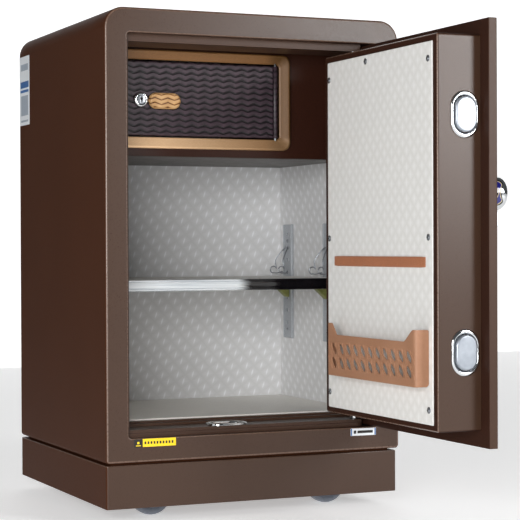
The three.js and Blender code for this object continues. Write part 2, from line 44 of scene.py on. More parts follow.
# ------------------------------------------------------------------ camera
def make_camera():
    cd = bpy.data.cameras.new("camera")
    cd.sensor_width = 36.0
    cd.lens = 1726.0 * 36.0 / 520.0
    cam = bpy.data.objects.new("camera", cd)
    bpy.context.scene.collection.objects.link(cam)
    yaw, pitch, roll = math.radians(23.96), math.radians(0.45), math.radians(-0.22)
    fwd = Vector((math.sin(yaw) * math.cos(pitch), math.cos(yaw) * math.cos(pitch), -math.sin(pitch)))
    right = Vector((math.cos(yaw), -math.sin(yaw), 0))
    up = right.cross(fwd)
    r2 = right * math.cos(roll) + up * math.sin(roll)
    u2 = -right * math.sin(roll) + up * math.cos(roll)
    m = Matrix((r2, u2, -fwd)).transposed().to_4x4()
    m.translation = Vector((-.9915, -2.2625, .3775))
    cam.matrix_world = m
    cd.clip_start, cd.clip_end = .05, 60
    bpy.context.scene.camera = cam
make_camera()

# --------------------------------------------------------------- materials
def new_mat(name):
    m = bpy.data.materials.new(name)
    m.use_nodes = True
    nt = m.node_tree
    nt.nodes.clear()
    out = nt.nodes.new("ShaderNodeOutputMaterial")
    bs = nt.nodes.new("ShaderNodeBsdfPrincipled")
    nt.links.new(bs.outputs[0], out.inputs[0])
    return m, nt, bs

def srgb(r, g, b):
    f = lambda c: (c / 255 / 12.92) if c / 255 <= .04045 else ((c / 255 + .055) / 1.055) ** 2.4
    return (f(r), f(g), f(b), 1)

class N:
    """small helper that builds node networks"""
    def __init__(s, nt):
        s.nt = nt
    def node(s, kind, **kw):
        n = s.nt.nodes.new(kind)
        for k, v in kw.items():
            setattr(n, k, v)
        return n
    def put(s, sock, v):
        if hasattr(v, "links") or isinstance(v, bpy.types.NodeSocket):
            s.nt.links.new(v, sock)
        else:
            sock.default_value = v
    def math(s, op, a, b=0.0, c=None, clamp=False):
        n = s.node("ShaderNodeMath", operation=op)
        n.use_clamp = clamp
        s.put(n.inputs[0], a); s.put(n.inputs[1], b)
        if c is not None:
            s.put(n.inputs[2], c)
        return n.outputs[0]
    def uv(s):
        return s.node("ShaderNodeUVMap").outputs[0]
    def obj(s):
        return s.node("ShaderNodeTexCoord").outputs["Object"]
    def scale(s, vec, k):
        n = s.node("ShaderNodeVectorMath", operation="MULTIPLY")
        s.put(n.inputs[0], vec)
        n.inputs[1].default_value = k if isinstance(k, tuple) else (k, k, k)
        return n.outputs[0]
    def split(s, vec):
        n = s.node("ShaderNodeSeparateXYZ")
        s.put(n.inputs[0], vec)
        return n.outputs
    def noise(s, vec, scale, detail=3.0, rough=.5):
        n = s.node("ShaderNodeTexNoise")
        s.put(n.inputs["Vector"], vec)
        n.inputs["Scale"].default_value = scale
        n.inputs["Detail"].default_value = detail
        n.inputs["Roughness"].default_value = rough
        return n.outputs["Fac"]
    def voronoi(s, vec, scale, feature="F1"):
        n = s.node("ShaderNodeTexVoronoi", feature=feature)
        s.put(n.inputs["Vector"], vec)
        n.inputs["Scale"].default_value = scale
        return n.outputs["Distance"]
    def ramp(s, fac, stops):
        n = s.node("ShaderNodeValToRGB")
        s.put(n.inputs[0], fac)
        e = n.color_ramp.elements
        while len(e) > 1:
            e.remove(e[-1])
        e[0].position, e[0].color = stops[0]
        for p, c in stops[1:]:
            x = e.new(p); x.color = c
        return n.outputs[0]
    def maprange(s, v, a, b, c, d, smooth=False):
        n = s.node("ShaderNodeMapRange")
        if smooth:
            n.interpolation_type = "SMOOTHSTEP"
        s.put(n.inputs[0], v)
        for i, q in enumerate((a, b, c, d)):
            n.inputs[i + 1].default_value = q
        return n.outputs[0]
    def mix(s, fac, a, b, blend="MIX"):
        n = s.node("ShaderNodeMix", data_type="RGBA", blend_type=blend)
        s.put(n.inputs[0], fac)
        s.put(n.inputs[6], a); s.put(n.inputs[7], b)
        return n.outputs[2]
    def bump(s, h, dist, strength=1.0, normal=None):
        n = s.node("ShaderNodeBump")
        n.inputs["Strength"].default_value = strength
        n.inputs["Distance"].default_value = dist
        s.put(n.inputs["Height"], h)
        if normal is not None:
            s.put(n.inputs["Normal"], normal)
        return n.outputs[0]
    def tri(s, v):
        """0 at whole numbers, 1 half way between them"""
        f = s.math("FRACT", v)
        a = s.math("SUBTRACT", f, .5)
        b = s.math("ABSOLUTE", a)
        return s.math("MULTIPLY_ADD", b, -2.0, 1.0)

def powder(name, base, light, rough=.42, metal=.25, grain=900, depth=.00012, coat=.15, mott=.5, spec=.2):
    """textured powder coat: mottled, slightly metallic, orange-peel skin"""
    m, nt, bs = new_mat(name)
    n = N(nt)
    o = n.obj()
    fine = n.voronoi(o, grain)
    soft = n.noise(o, grain * .55, 3, .55)
    big = n.noise(o, 9, 4, .55)
    f1 = n.math("MULTIPLY_ADD", fine, .55, n.math("MULTIPLY", soft, .6))
    col = n.ramp(f1, [(.28, base), (.85, light)])
    col2 = n.mix(n.maprange(big, .3, .7, 0, mott * .35), col, tuple(c * .8 for c in base[:3]) + (1,))
    nt.links.new(col2, bs.inputs["Base Color"])
    bs.inputs["Metallic"].default_value = metal
    bs.inputs["Specular IOR Level"].default_value = spec
    nt.links.new(n.maprange(soft, .25, .75, rough - .08, rough + .1), bs.inputs["Roughness"])
    bs.inputs["Coat Weight"].default_value = coat
    bs.inputs["Coat Roughness"].default_value = .25
    nt.links.new(n.bump(f1, depth, .5), bs.inputs["Normal"])
    return m

def emboss(name, dark, mid, light, cell=(.029, .028), depth=.0011, rough=.5, ridge=.5, spec=.5, strength=.4, shear=0.0):
    """embossed leatherette: staggered pyramids with a vertical ridge, fine grain; colour painted darker in the seams as
    shade and lighter on the crowns and ridge as highlight
    """
    m, nt, bs = new_mat(name)
    n = N(nt)
    u = n.uv()
    x, y, _ = n.split(u)
    U = n.math("DIVIDE", n.math("MULTIPLY_ADD", y, -shear, x), cell[0]); V = n.math("DIVIDE", y, cell[1])
    a = n.tri(n.math("ADD", U, V)); b = n.tri(n.math("SUBTRACT", U, V))
    low = n.math("MINIMUM", a, b)                       # 0 on the seams, 1 on the crowns
    body = n.math("POWER", low, .7)
    # distance from the cell's own vertical centre line
    row = n.tri(n.math("ADD", U, 0.0))
    row2 = n.tri(n.math("ADD", U, .5))
    side = n.math("MAXIMUM", row, row2)
    rid = n.math("MULTIPLY", n.maprange(side, .86, 1.0, 0, 1, True), n.maprange(low, .35, .75, 0, 1, True))
    grain = n.noise(u, 1500, 2, .6)
    cloud = n.noise(u, 35, 3, .6)
    h = n.math("ADD", body, n.math("MULTIPLY", rid, .35))
    h2 = n.math("ADD", h, n.math("MULTIPLY", grain, .12))
    # painted light: seams darker as shade, crowns and the vertical ridge lighter as highlight
    t = n.math("ADD", n.math("MULTIPLY", low, .55), n.math("MULTIPLY", rid, ridge))
    t2 = n.math("ADD", t, n.math("MULTIPLY", n.math("SUBTRACT", cloud, .5), .35))
    col = n.ramp(t2, [(.0, dark), (.4, mid), (1.0, light)])
    nt.links.new(col, bs.inputs["Base Color"])
    nt.links.new(n.maprange(rid, 0, 1, rough, rough - .18), bs.inputs["Roughness"])
    bs.inputs["Specular IOR Level"].default_value = spec
    nt.links.new(n.bump(h2, depth, strength), bs.inputs["Normal"])
    return m

def zigzag(name, groove, mid, light, wave=.0197, pitch=.0084, amp=.0017, rough=.42, grainy=.15):
    """plaited leather: parallel zigzag grooves; colour painted darkest in the grooves as shade, lighter at the crests
    as highlight, and lighter toward alternate zigzag corners as painted highlight
    """
    m, nt, bs = new_mat(name)
    n = N(nt)
    u = n.uv()
    x, y, _ = n.split(u)
    zz = n.tri(n.math("DIVIDE", x, wave))
    y2 = n.math("MULTIPLY_ADD", zz, 2 * amp, y)
    r = n.math("DIVIDE", y2, pitch)
    g = n.tri(r)                                          # 0 in the groove
    grain = n.noise(u, 900, 3, .6)
    cl = n.noise(u, 120, 3, .6)
    # painted shade in the grooves and painted highlight on the crests; the next line adds a painted highlight toward
    # alternate zigzag corners
    fac = n.math("ADD", n.maprange(g, .0, .55, 0, .75, True), n.math("MULTIPLY", n.math("SUBTRACT", cl, .5), .5))
    fac2 = n.math("ADD", fac, n.math("MULTIPLY", n.math("SUBTRACT", zz, .5), .25))
    col = n.ramp(fac2, [(.05, groove), (.45, mid), (1.0, light)])
    nt.links.new(col, bs.inputs["Base Color"])
    nt.links.new(n.maprange(grain, .3, .7, rough - .08, rough + .12), bs.inputs["Roughness"])
    nt.links.new(n.bump(n.math("MULTIPLY", grain, grainy), .0006, .5), bs.inputs["Normal"])
    return m

def leather(name, base, light, rough=.5, grain=700, depth=.0002):
    m, nt, bs = new_mat(name)
    n = N(nt)
    o = n.obj()
    v = n.voronoi(o, grain)
    c = n.noise(o, 60, 4, .6)
    f = n.math("MULTIPLY_ADD", v, .5, n.math("MULTIPLY", c, .6))
    nt.links.new(n.ramp(f, [(.2, base), (.9, light)]), bs.inputs["Base Color"])
    nt.links.new(n.maprange(c, .3, .7, rough - .07, rough + .08), bs.inputs["Roughness"])
    nt.links.new(n.bump(f, depth, .6), bs.inputs["Normal"])
    return m

def metal(name, base, rough=.15, brush=None, depth=.00003, aniso=0.0, tint=None, var=.05, metallic=1.0):
    m, nt, bs = new_mat(name)
    n = N(nt)
    o = n.obj()
    v = n.scale(o, brush) if brush else o
    f = n.noise(v, 350 if brush else 80, 3, .55)
    t = tint or tuple(c * .8 for c in base[:3]) + (1,)
    nt.links.new(n.ramp(f, [(.3, t), (.7, base)]), bs.inputs["Base Color"])
    bs.inputs["Metallic"].default_value = metallic
    nt.links.new(n.maprange(f, .3, .7, max(rough - var, .02), rough + var), bs.inputs["Roughness"])
    nt.links.new(n.bump(f, depth, .3), bs.inputs["Normal"])
    return m

def plastic(name, base, light, rough=.35, grain=400, depth=.00006, trans=0.0, coat=0.0, sub=0.0, noise_scale=12, ior=1.5):
    m, nt, bs = new_mat(name)
    n = N(nt)
    o = n.obj()
    a = n.noise(o, grain, 2, .5)
    c = n.noise(o, noise_scale, 3, .55)
    f = n.math("MULTIPLY_ADD", a, .3, n.math("MULTIPLY", c, .7))
    nt.links.new(n.ramp(f, [(.3, base), (.7, light)]), bs.inputs["Base Color"])
    nt.links.new(n.maprange(a, .3, .7, max(rough - .05, .03), rough + .06), bs.inputs["Roughness"])
    nt.links.new(n.bump(a, depth, .5), bs.inputs["Normal"])
    bs.inputs["Transmission Weight"].default_value = trans
    bs.inputs["Coat Weight"].default_value = coat
    bs.inputs["Coat Roughness"].default_value = .08
    bs.inputs["Subsurface Weight"].default_value = sub
    bs.inputs["Subsurface Radius"].default_value = (.004, .004, .004)
    bs.inputs["IOR"].default_value = ior
    return m

# one brown paint in lit and shaded copies split by facing: the sides take a redder, nearly matte copy and the front
# faces a glossier, greyer one, painting the sheen and tone each facing gets
BROWN = powder("brown_powder_coat", srgb(64, 36, 22), srgb(81, 49, 33), rough=.46, metal=.0, grain=1300, depth=.00007, coat=.0, spec=.03)
BROWN_FACE = powder("brown_powder_coat_face", srgb(60, 40, 28), srgb(73, 50, 36), rough=.32, metal=.0, grain=1500, depth=.00006, coat=.0, spec=.46)
# copy for the door slab's latch edge, between those two: painted sheen by facing
BROWN_SLAB = powder("brown_powder_coat_slab_edge", srgb(62, 42, 31), srgb(76, 53, 40), rough=.4, metal=.0, grain=1500, depth=.00006, coat=.0, spec=.28)
# lighter, glossier copy of the paint for rounded edges: a painted highlight along them
BROWN_HIGHLIGHT_EDGE = powder("brown_powder_coat_painted_highlight_edge", srgb(84, 62, 50), srgb(112, 88, 74), rough=.28, metal=.0, grain=900, mott=.2, coat=.12, spec=.5)
BROWN_DARK = powder("brown_powder_coat_locker", srgb(40, 18, 10), srgb(58, 30, 20), rough=.36, metal=.0, coat=.0, mott=.6, spec=.3)
# much darker copy of the paint for the door's faces turned from the lamps: painted shade
BROWN_DOOR_SHADE = powder("brown_powder_coat_door_shaded_copy", srgb(42, 22, 14), srgb(62, 37, 27), rough=.42, metal=.0, coat=.0, spec=.1)
# lighter, greyer copy of the paint for the door frame, standing for the sheen on it: painted sheen
BROWN_FRAME_SHEEN = powder("brown_powder_coat_frame_sheen_copy", srgb(64, 44, 34), srgb(80, 58, 46), rough=.36, metal=.0, grain=1300, depth=.00007, coat=.0, spec=.26)
LINING = emboss("lining_leatherette", srgb(212, 212, 212), srgb(222, 222, 223), srgb(246, 247, 250), cell=(.0262, .0215), depth=.0008, strength=.3, shear=.3)
COVER = emboss("cover_leatherette", srgb(226, 225, 221), srgb(234, 233, 230), srgb(244, 244, 242), cell=(.0205, .021), depth=.0006, ridge=.32, strength=.22)
FLOORING = leather("floor_lining", srgb(222, 219, 212), srgb(240, 237, 231), .42, 500, .0001)
# grey for the sheet under the locker, darkened to the shade that falls there: painted shade
UNDER_SHADE_GREY = leather("locker_underside", srgb(84, 80, 76), srgb(106, 101, 96), .5, 500, .0001)
DARKLEATHER = zigzag("dark_leatherette", srgb(2, 1, 2), srgb(30, 19, 26), srgb(66, 48, 58))
TANLEATHER = zigzag("tan_leatherette", srgb(82, 46, 16), srgb(180, 132, 78), srgb(216, 176, 126), pitch=.0066)
def gold(name):
    """brushed gold moulding with painted light: a bright painted highlight on the lower bar, strongest at its left
    where it turns up to the light, and painted shade on the other bars, darkest on the right bar
    """
    m, nt, bs = new_mat(name)
    n = N(nt)
    x, y, z = n.split(n.obj())
    f = n.noise(n.scale(n.obj(), (1, 1, 6)), 350, 3, .55)
    deep_shade = n.ramp(f, [(.3, srgb(84, 54, 20)), (.7, srgb(106, 72, 32))])
    shade = n.ramp(f, [(.3, srgb(118, 80, 42)), (.7, srgb(142, 100, 58))])
    pale_highlight = n.ramp(f, [(.3, srgb(240, 194, 146)), (.7, srgb(253, 213, 170))])
    # painted highlight on the lower bar fading to the right, and painted shade darkest on the right bar
    low = n.maprange(z, .5325, .5395, 1, 0, True)
    run = n.maprange(x, -.16, .10, 1, .12, True)
    side = n.maprange(x, .045, .068, 0, 1, True)
    nt.links.new(n.mix(n.math("MULTIPLY", low, run), n.mix(side, shade, deep_shade), pale_highlight), bs.inputs["Base Color"])
    bs.inputs["Metallic"].default_value = .2
    nt.links.new(n.maprange(f, .3, .7, .36, .48), bs.inputs["Roughness"])
    nt.links.new(n.bump(f, .00003, .3), bs.inputs["Normal"])
    return m
GOLD = gold("gold_moulding")
CHROME = metal("chrome", srgb(235, 238, 240), .07, var=.03)
SATIN = metal("satin_chrome", srgb(176, 182, 190), .4, tint=srgb(158, 164, 173), var=.04, metallic=.75)
STEEL = metal("bright_steel", srgb(176, 180, 186), .3, (1, 1, 10), var=.08)
GALV = metal("rail_steel", srgb(186, 190, 194), .45, (8, 8, 1), tint=srgb(154, 158, 164), var=.08, metallic=.35)
ZINC = metal("yellow_zinc", srgb(152, 154, 94), .45, tint=srgb(118, 122, 66), var=.08, metallic=.6)
BASKET = plastic("tan_plastic", srgb(156, 111, 82), srgb(173, 127, 98), .55, 300, .00008, sub=.05)
STRAP = leather("strap_leather", srgb(154, 96, 64), srgb(186, 122, 88), .42, 900, .00012)
BLACKGLOSS = plastic("black_gloss", srgb(16, 16, 18), srgb(24, 24, 27), .1, 200, .00001, coat=.6)
def trim(name):
    """black glossy bead strip, light grey with fine streaks over its left part, with a wavy border"""
    m, nt, bs = new_mat(name)
    n = N(nt)
    x, y, z = n.split(n.obj())
    wob = n.noise(n.scale(n.obj(), (4, 1, 60)), 3, 3, .6)
    edge = n.maprange(n.math("ADD", x, n.math("MULTIPLY", n.math("SUBTRACT", wob, .5), .03)), -.002, .022, 0, 1, True)
    streak = n.noise(n.scale(n.obj(), (3, 1, 300)), 2, 2, .5)
    left_grey = n.ramp(streak, [(.3, srgb(176, 182, 190)), (.5, srgb(224, 229, 232)), (.7, srgb(238, 240, 240))])
    dark = n.ramp(n.noise(n.obj(), 40, 2, .5), [(.3, srgb(14, 13, 15)), (.7, srgb(24, 22, 25))])
    nt.links.new(n.mix(edge, left_grey, dark), bs.inputs["Base Color"])
    nt.links.new(n.maprange(edge, 0, 1, .22, .1), bs.inputs["Roughness"])
    bs.inputs["Coat Weight"].default_value = .5
    bs.inputs["Coat Roughness"].default_value = .06
    return m
TRIM = trim("shelf_trim_black_gloss")
DARKGLOSS = plastic("dark_gloss", srgb(20, 18, 18), srgb(30, 27, 27), .16, 200, .00002, coat=.8)
WHEEL = plastic("grey_nylon", srgb(112, 118, 130), srgb(140, 146, 158), .32, 250, .00006, trans=.25, sub=.1)
# near-black for screw slots and the keyhole, painted shade in those recesses, and for the welt round the pull pad
DARK_RECESS_AND_WELT = plastic("dark_hollow", srgb(20, 18, 18), srgb(34, 30, 30), .7)
BLUE = plastic("blue_enamel", srgb(22, 24, 112), srgb(34, 38, 140), .12, 100, .00001, coat=.8)
PALE = plastic("pale_line", srgb(225, 205, 160), srgb(240, 225, 190), .3)
YELLOW = plastic("label_yellow", srgb(246, 206, 8), srgb(252, 218, 30), .4)
BLACK = plastic("label_black", srgb(20, 18, 16), srgb(32, 28, 24), .45)
WHITE = plastic("label_white", srgb(226, 230, 234), srgb(240, 243, 245), .4)
LABELBLUE = plastic("label_blue", srgb(46, 92, 150), srgb(66, 116, 176), .4)
LABELGREY = plastic("label_grey", srgb(150, 160, 172), srgb(176, 186, 196), .4)
FILL = leather("fire_insulation", srgb(168, 164, 154), srgb(190, 186, 176), .9, 300, .0004)

# ---------------------------------------------------------------- mesh kit
def finish_mesh(name, bm, M, mats, body, nodes=(), angle=32, uvs=True):
    """bm in drawing mm (M given) or row metres (M None) becomes one piece"""
    bmesh.ops.remove_doubles(bm, verts=bm.verts, dist=.002 if M else 2e-6)
    if uvs:
        lay = bm.loops.layers.uv.new("UVMap")
        k = .001 if M else 1.0
        for f in bm.faces:
            nx, ny, nz = (abs(c) for c in f.normal)
            for l in f.loops:
                p = l.vert.co
                if nx >= ny and nx >= nz: q = (p.y, p.z)
                elif ny >= nz: q = (p.x, p.z)
                else: q = (p.x, p.y)
                l[lay].uv = (q[0] * k, q[1] * k)
    if M:
        bm.transform(M)
    me = bpy.data.meshes.new(name)
    bm.to_mesh(me)
    bm.free()
    ms = mats if isinstance(mats, (list, tuple)) else [mats]
    for m in ms:
        me.materials.append(m)
    me.shade_smooth()
    me.set_sharp_from_angle(angle=math.radians(angle))
    for f in me.polygons:                                 # broad flat panels stay flat up to their rounded edges
        if f.area > 4e-4 and max(abs(c) for c in f.normal) > .9996:
            f.use_smooth = False
    o = bpy.data.objects.new(name, me)
    bpy.context.scene.collection.objects.link(o)
    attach(o, body)
    if nodes:
        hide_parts(*nodes)
    return o

def fix(bm):
    bmesh.ops.recalc_face_normals(bm, faces=bm.faces)

def sharp_edges(bm, deg=30):
    t = math.radians(deg)
    return [e for e in bm.edges if len(e.link_faces) == 2 and e.calc_face_angle(0) > t]

def bevel(bm, w, seg=2, deg=30, edges=None, mat=-1):
    es = edges if edges is not None else sharp_edges(bm, deg)
    if es:
        bmesh.ops.bevel(bm, geom=es, offset=w, offset_type="OFFSET", segments=seg, profile=.5,
                        affect="EDGES", clamp_overlap=True, material=mat)

def cad(node, w=.0006, seg=2, deg=30, tidy=True):
    """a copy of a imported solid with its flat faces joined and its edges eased"""
    bm = bmesh.new()
    bm.from_mesh(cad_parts[node].data)
    bmesh.ops.remove_doubles(bm, verts=bm.verts, dist=1e-6)
    if tidy:
        bmesh.ops.dissolve_limit(bm, angle_limit=math.radians(.6), use_dissolve_boundaries=False,
                                 verts=bm.verts, edges=bm.edges)
    if w:
        bevel(bm, w, seg, deg)
    return bm

def rr(a0, a1, b0, b1, r, seg=8):
    """rounded rectangle, one radius or four (corners a0b0, a1b0, a1b1, a0b1)"""
    rs = r if isinstance(r, (list, tuple)) else [r] * 4
    cs = [(a0, b0, 1, 1, 180), (a1, b0, -1, 1, 270), (a1, b1, -1, -1, 0), (a0, b1, 1, -1, 90)]
    out = []
    for (a, b, sa, sb, start), q in zip(cs, rs):
        q = max(q, .01)
        ca, cb = a + sa * q, b + sb * q
        for k in range(seg + 1):
            w = math.radians(start + 90 * k / seg)
            out.append((ca + q * math.cos(w), cb + q * math.sin(w)))
    return out

def loft(bm, loops, closed=False, cap0=True, cap1=True, mats=None):
    """skins loops of equal length; mats gives a material index per band"""
    rows = [[bm.verts.new(p) for p in l] for l in loops]
    n = len(rows[0])
    last = len(rows) if closed else len(rows) - 1
    for i in range(last):
        a, b = rows[i], rows[(i + 1) % len(rows)]
        for j in range(n):
            k = (j + 1) % n
            try:
                f = bm.faces.new((a[j], a[k], b[k], b[j]))
                if mats:
                    f.material_index = mats[i]
            except ValueError:
                pass
    if not closed:
        if cap0: bm.faces.new(rows[0][::-1])
        if cap1: bm.faces.new(rows[-1])
    return rows

def xz(pts, y): return [(a, y, b) for a, b in pts]
def yz(pts, x): return [(x, a, b) for a, b in pts]
def xy(pts, z): return [(a, b, z) for a, b in pts]

def plate(a0, a1, b0, b1, c0, c1, r, plane, edge=1.0, seg=8, es=3, bm=None):
    """flat block with rounded corners and eased edges on both faces"""
    own = bm is None
    bm = bm or bmesh.new()
    put = {"xz": xz, "yz": yz, "xy": xy}[plane]
    loops = []
    for k in range(es + 1):
        w = PI / 2 * k / es
        o, d = edge * (1 - math.sin(w)), edge * (1 - math.cos(w))
        loops.append(put(rr(a0 + o, a1 - o, b0 + o, b1 - o, max((r if not isinstance(r, (list, tuple)) else 0) - o, .05) if not isinstance(r, (list, tuple)) else [max(q - o, .05) for q in r], seg), c0 + d))
    for k in range(es, -1, -1):
        w = PI / 2 * k / es
        o, d = edge * (1 - math.sin(w)), edge * (1 - math.cos(w))
        loops.append(put(rr(a0 + o, a1 - o, b0 + o, b1 - o, max(r - o, .05) if not isinstance(r, (list, tuple)) else [max(q - o, .05) for q in r], seg), c1 - d))
    loft(bm, loops)
    if own:
        fix(bm)
    return bm

def lathe(bm, prof, axis, at, seg=40, mats=None):
    """profile of (radius, height) turned about an axis; at is a point on it"""
    rows = []
    for r, h in prof:
        row = []
        for k in range(seg):
            w = 2 * PI * k / seg
            a, b = r * math.cos(w), r * math.sin(w)
            if axis == "x": p = (at[0] + h, at[1] + a, at[2] + b)
            elif axis == "y": p = (at[0] + a, at[1] + h, at[2] + b)
            else: p = (at[0] + a, at[1] + b, at[2] + h)
            row.append(p)
        rows.append(row)
    return loft(bm, rows, closed=False, cap0=prof[0][0] > 0, cap1=prof[-1][0] > 0, mats=mats)

def tube(bm, pts, r, seg=10, smooth=6):
    """round wire along points, smoothed with a Catmull-Rom curve"""
    P = [Vector(p) for p in pts]
    path = []
    for i in range(len(P) - 1):
        a, b, c, d = P[max(i - 1, 0)], P[i], P[i + 1], P[min(i + 2, len(P) - 1)]
        for k in range(smooth):
            t = k / smooth
            path.append(.5 * ((2 * b) + (c - a) * t + (2 * a - 5 * b + 4 * c - d) * t * t + (3 * b - a - 3 * c + d) * t ** 3))
    path.append(P[-1])
    t0 = (path[1] - path[0]).normalized()
    nrm = t0.orthogonal().normalized()
    rows = []
    for i, p in enumerate(path):
        t = (path[min(i + 1, len(path) - 1)] - path[max(i - 1, 0)]).normalized()
        nrm = (nrm - t * nrm.dot(t)).normalized()
        bn = t.cross(nrm)
        rows.append([p + r * (nrm * math.cos(2 * PI * k / seg) + bn * math.sin(2 * PI * k / seg)) for k in range(seg)])
    loft(bm, rows)

def join(bm, other, M=None):
    me = bpy.data.meshes.new("tmp")
    if M: other.transform(M)
    other.to_mesh(me)
    other.free()
    bm.from_mesh(me)
    bpy.data.meshes.remove(me)

def pan_screw(bm, at, axis, sgn, r=3.2, h=1.8, mat=0, mat2=1, washer=0.0):
    """domed cross-head screw standing on a face; sgn is the way out"""
    s = sgn
    prof = []
    if washer:
        prof += [(washer, 0), (washer, s * .5), (washer - .4, s * .8)]
    prof += [(r, s * (.8 if washer else 0)), (r, s * (h * .35 + (.8 if washer else 0)))]
    for k in range(1, 5):
        w = PI / 2 * k / 4
        prof.append((r * math.cos(w) * .999 + .001, s * ((.8 if washer else 0) + h * .35 + (h * .65) * math.sin(w))))
    n0 = len(bm.faces)
    lathe(bm, prof, axis, at, 20)
    bm.faces.ensure_lookup_table()
    for f in bm.faces[n0:]:
        f.material_index = mat
    top = s * ((.8 if washer else 0) + h + .02)
    # the cross recess is drawn as flat dark quads: painted shade in the slots
    for q in ((r * .62, r * .13), (r * .13, r * .62)):
        if axis == "y": v = [(at[0] - q[0], at[1] + top, at[2] - q[1]), (at[0] + q[0], at[1] + top, at[2] - q[1]), (at[0] + q[0], at[1] + top, at[2] + q[1]), (at[0] - q[0], at[1] + top, at[2] + q[1])]
        elif axis == "x": v = [(at[0] + top, at[1] - q[0], at[2] - q[1]), (at[0] + top, at[1] + q[0], at[2] - q[1]), (at[0] + top, at[1] + q[0], at[2] + q[1]), (at[0] + top, at[1] - q[0], at[2] + q[1])]
        else: v = [(at[0] - q[0], at[1] - q[1], at[2] + top), (at[0] + q[0], at[1] - q[1], at[2] + top), (at[0] + q[0], at[1] + q[1], at[2] + top), (at[0] - q[0], at[1] + q[1], at[2] + top)]
        f = bm.faces.new([bm.verts.new(p) for p in v])
        f.material_index = mat2

# ============================================================ the cabinet
HW, BD, BH = 225.0, 413.0, 622.0
def body_loop(o, y, seg=14):
    return xz(rr(-HW + o, HW - o, o, BH - o, [max(5 - o, 1.2)] * 2 + [28 - o] * 2, seg), y)

bm = bmesh.new()
loops, mats = [], []
SEG = 14
for k in range(5):                                    # rolled edge of the opening
    w = PI / 2 * k / 4
    o, y = 1.4 * math.sin(w), 1.4 * (1 - math.sin(PI / 2 - w) * 1.0)
    # from the inside of the fold out on to the face
    a = PI / 2 * (1 - k / 4)
    yy, oo = 1.4 * (1 - math.cos(a)), 1.4 * (1 - math.sin(a))
    loops.append(xz(rr(-193 - oo + .08, 193 + oo - .08, 33 - oo + .08, 588 + oo - .08, 5 + oo, SEG), yy))
# the rolled edge of the opening takes the lighter edge copy: painted highlight
mats += [1, 1, 1, 1]
loops.append(xz(rr(-195.6, 195.6, 30.4, 590.6, 7.6, SEG), 0))
loops.append(body_loop(4.4, 0))
mats += [0, 0]
# order: k=0 is deepest (y = 1.4), k=4 is on the face (y = 0)
for k in range(7):                                    # rounded front edge of the body
    a = PI / 2 * k / 6
    loops.append(body_loop(3.2 * (1 - math.sin(a)), 3.2 * (1 - math.cos(a))))
# the middle of the rounded front edge takes the lighter edge copy: painted highlight
mats += [0] + [1] * 3 + [0] * 3
for y in (60, 150, 260, 380):
    loops.append(body_loop(0, y)); mats.append(0)
for k in range(5):
    a = PI / 2 * (1 - k / 4)
    loops.append(body_loop(2.5 * (1 - math.sin(a)), BD - 2.5 + 2.5 * math.cos(a))); mats.append(0)
loft(bm, loops, cap0=False, cap1=True, mats=mats)
fix(bm)
if sum(f.normal.y * f.calc_area() for f in bm.faces if abs(f.normal.y) > .9 and f.calc_center_median().y > 400) < 0:
    bmesh.ops.reverse_faces(bm, faces=bm.faces)
# front faces take the glossier front copy of the paint: painted sheen by facing
for f in bm.faces:
    if f.material_index == 0 and f.normal.y < -.9 and f.calc_center_median().y < 1:
        f.material_index = 2
skin = finish_mesh("cabinet_body", bm, MC, [BROWN, BROWN_HIGHLIGHT_EDGE, BROWN_FACE], "cabinet", ["outer_shell", "back_panel"], 40)

# door rebate, step, jamb and sill: folded sheet behind the face
bm = cad("front_frame", 0)
y_cut = (1.35 - 41.5) / 1000
bmesh.ops.bisect_plane(bm, geom=bm.verts[:] + bm.edges[:] + bm.faces[:], plane_co=(0, y_cut, 0),
                       plane_no=(0, 1, 0), clear_inner=True)
dead = []
for f in bm.faces:
    c = f.calc_center_median()
    x, y, z = c.x * 1000 + 8.5, c.y * 1000 + 41.5, c.z * 1000 - 82.5
    if y < 4.6 and (abs(x) > 206.5 or z < 29 or z > 592):
        dead.append(f)
bmesh.ops.delete(bm, geom=dead, context="FACES")
bevel(bm, .0007, 3, 32)
# the frame takes the lighter, greyer frame copy of the paint: painted sheen
jamb = finish_mesh("door_frame_jamb", bm, None, [BROWN_FRAME_SHEEN], "cabinet", ["front_frame"], 35)

# lining boards
for nd in ("liner_left", "liner_right", "liner_back"):
    finish_mesh(nd + "_leatherette", cad(nd, .0008, 2), None, [LINING], "cabinet", [nd])
finish_mesh("floor_lining", cad("floor_panel", .0008, 2), None, [FLOORING], "cabinet", ["floor_panel"])
finish_mesh("fire_insulation_fill", cad("fire_fill", 0), None, [FILL], "cabinet", ["fire_fill"])

# inner locker carcass, and a grey sheet under it coloured to the dim grey of the shade there: painted shade
finish_mesh("locker_carcass", cad("locker_housing", .0006, 2), None, [BROWN_DARK], "cabinet", ["locker_housing"])
bm = plate(-201.5, 201.5, 106, 363.5, 424.3, 424.9, 1, "xy", .25)
finish_mesh("locker_underside_lining", bm, MC, [UNDER_SHADE_GREY], "cabinet")

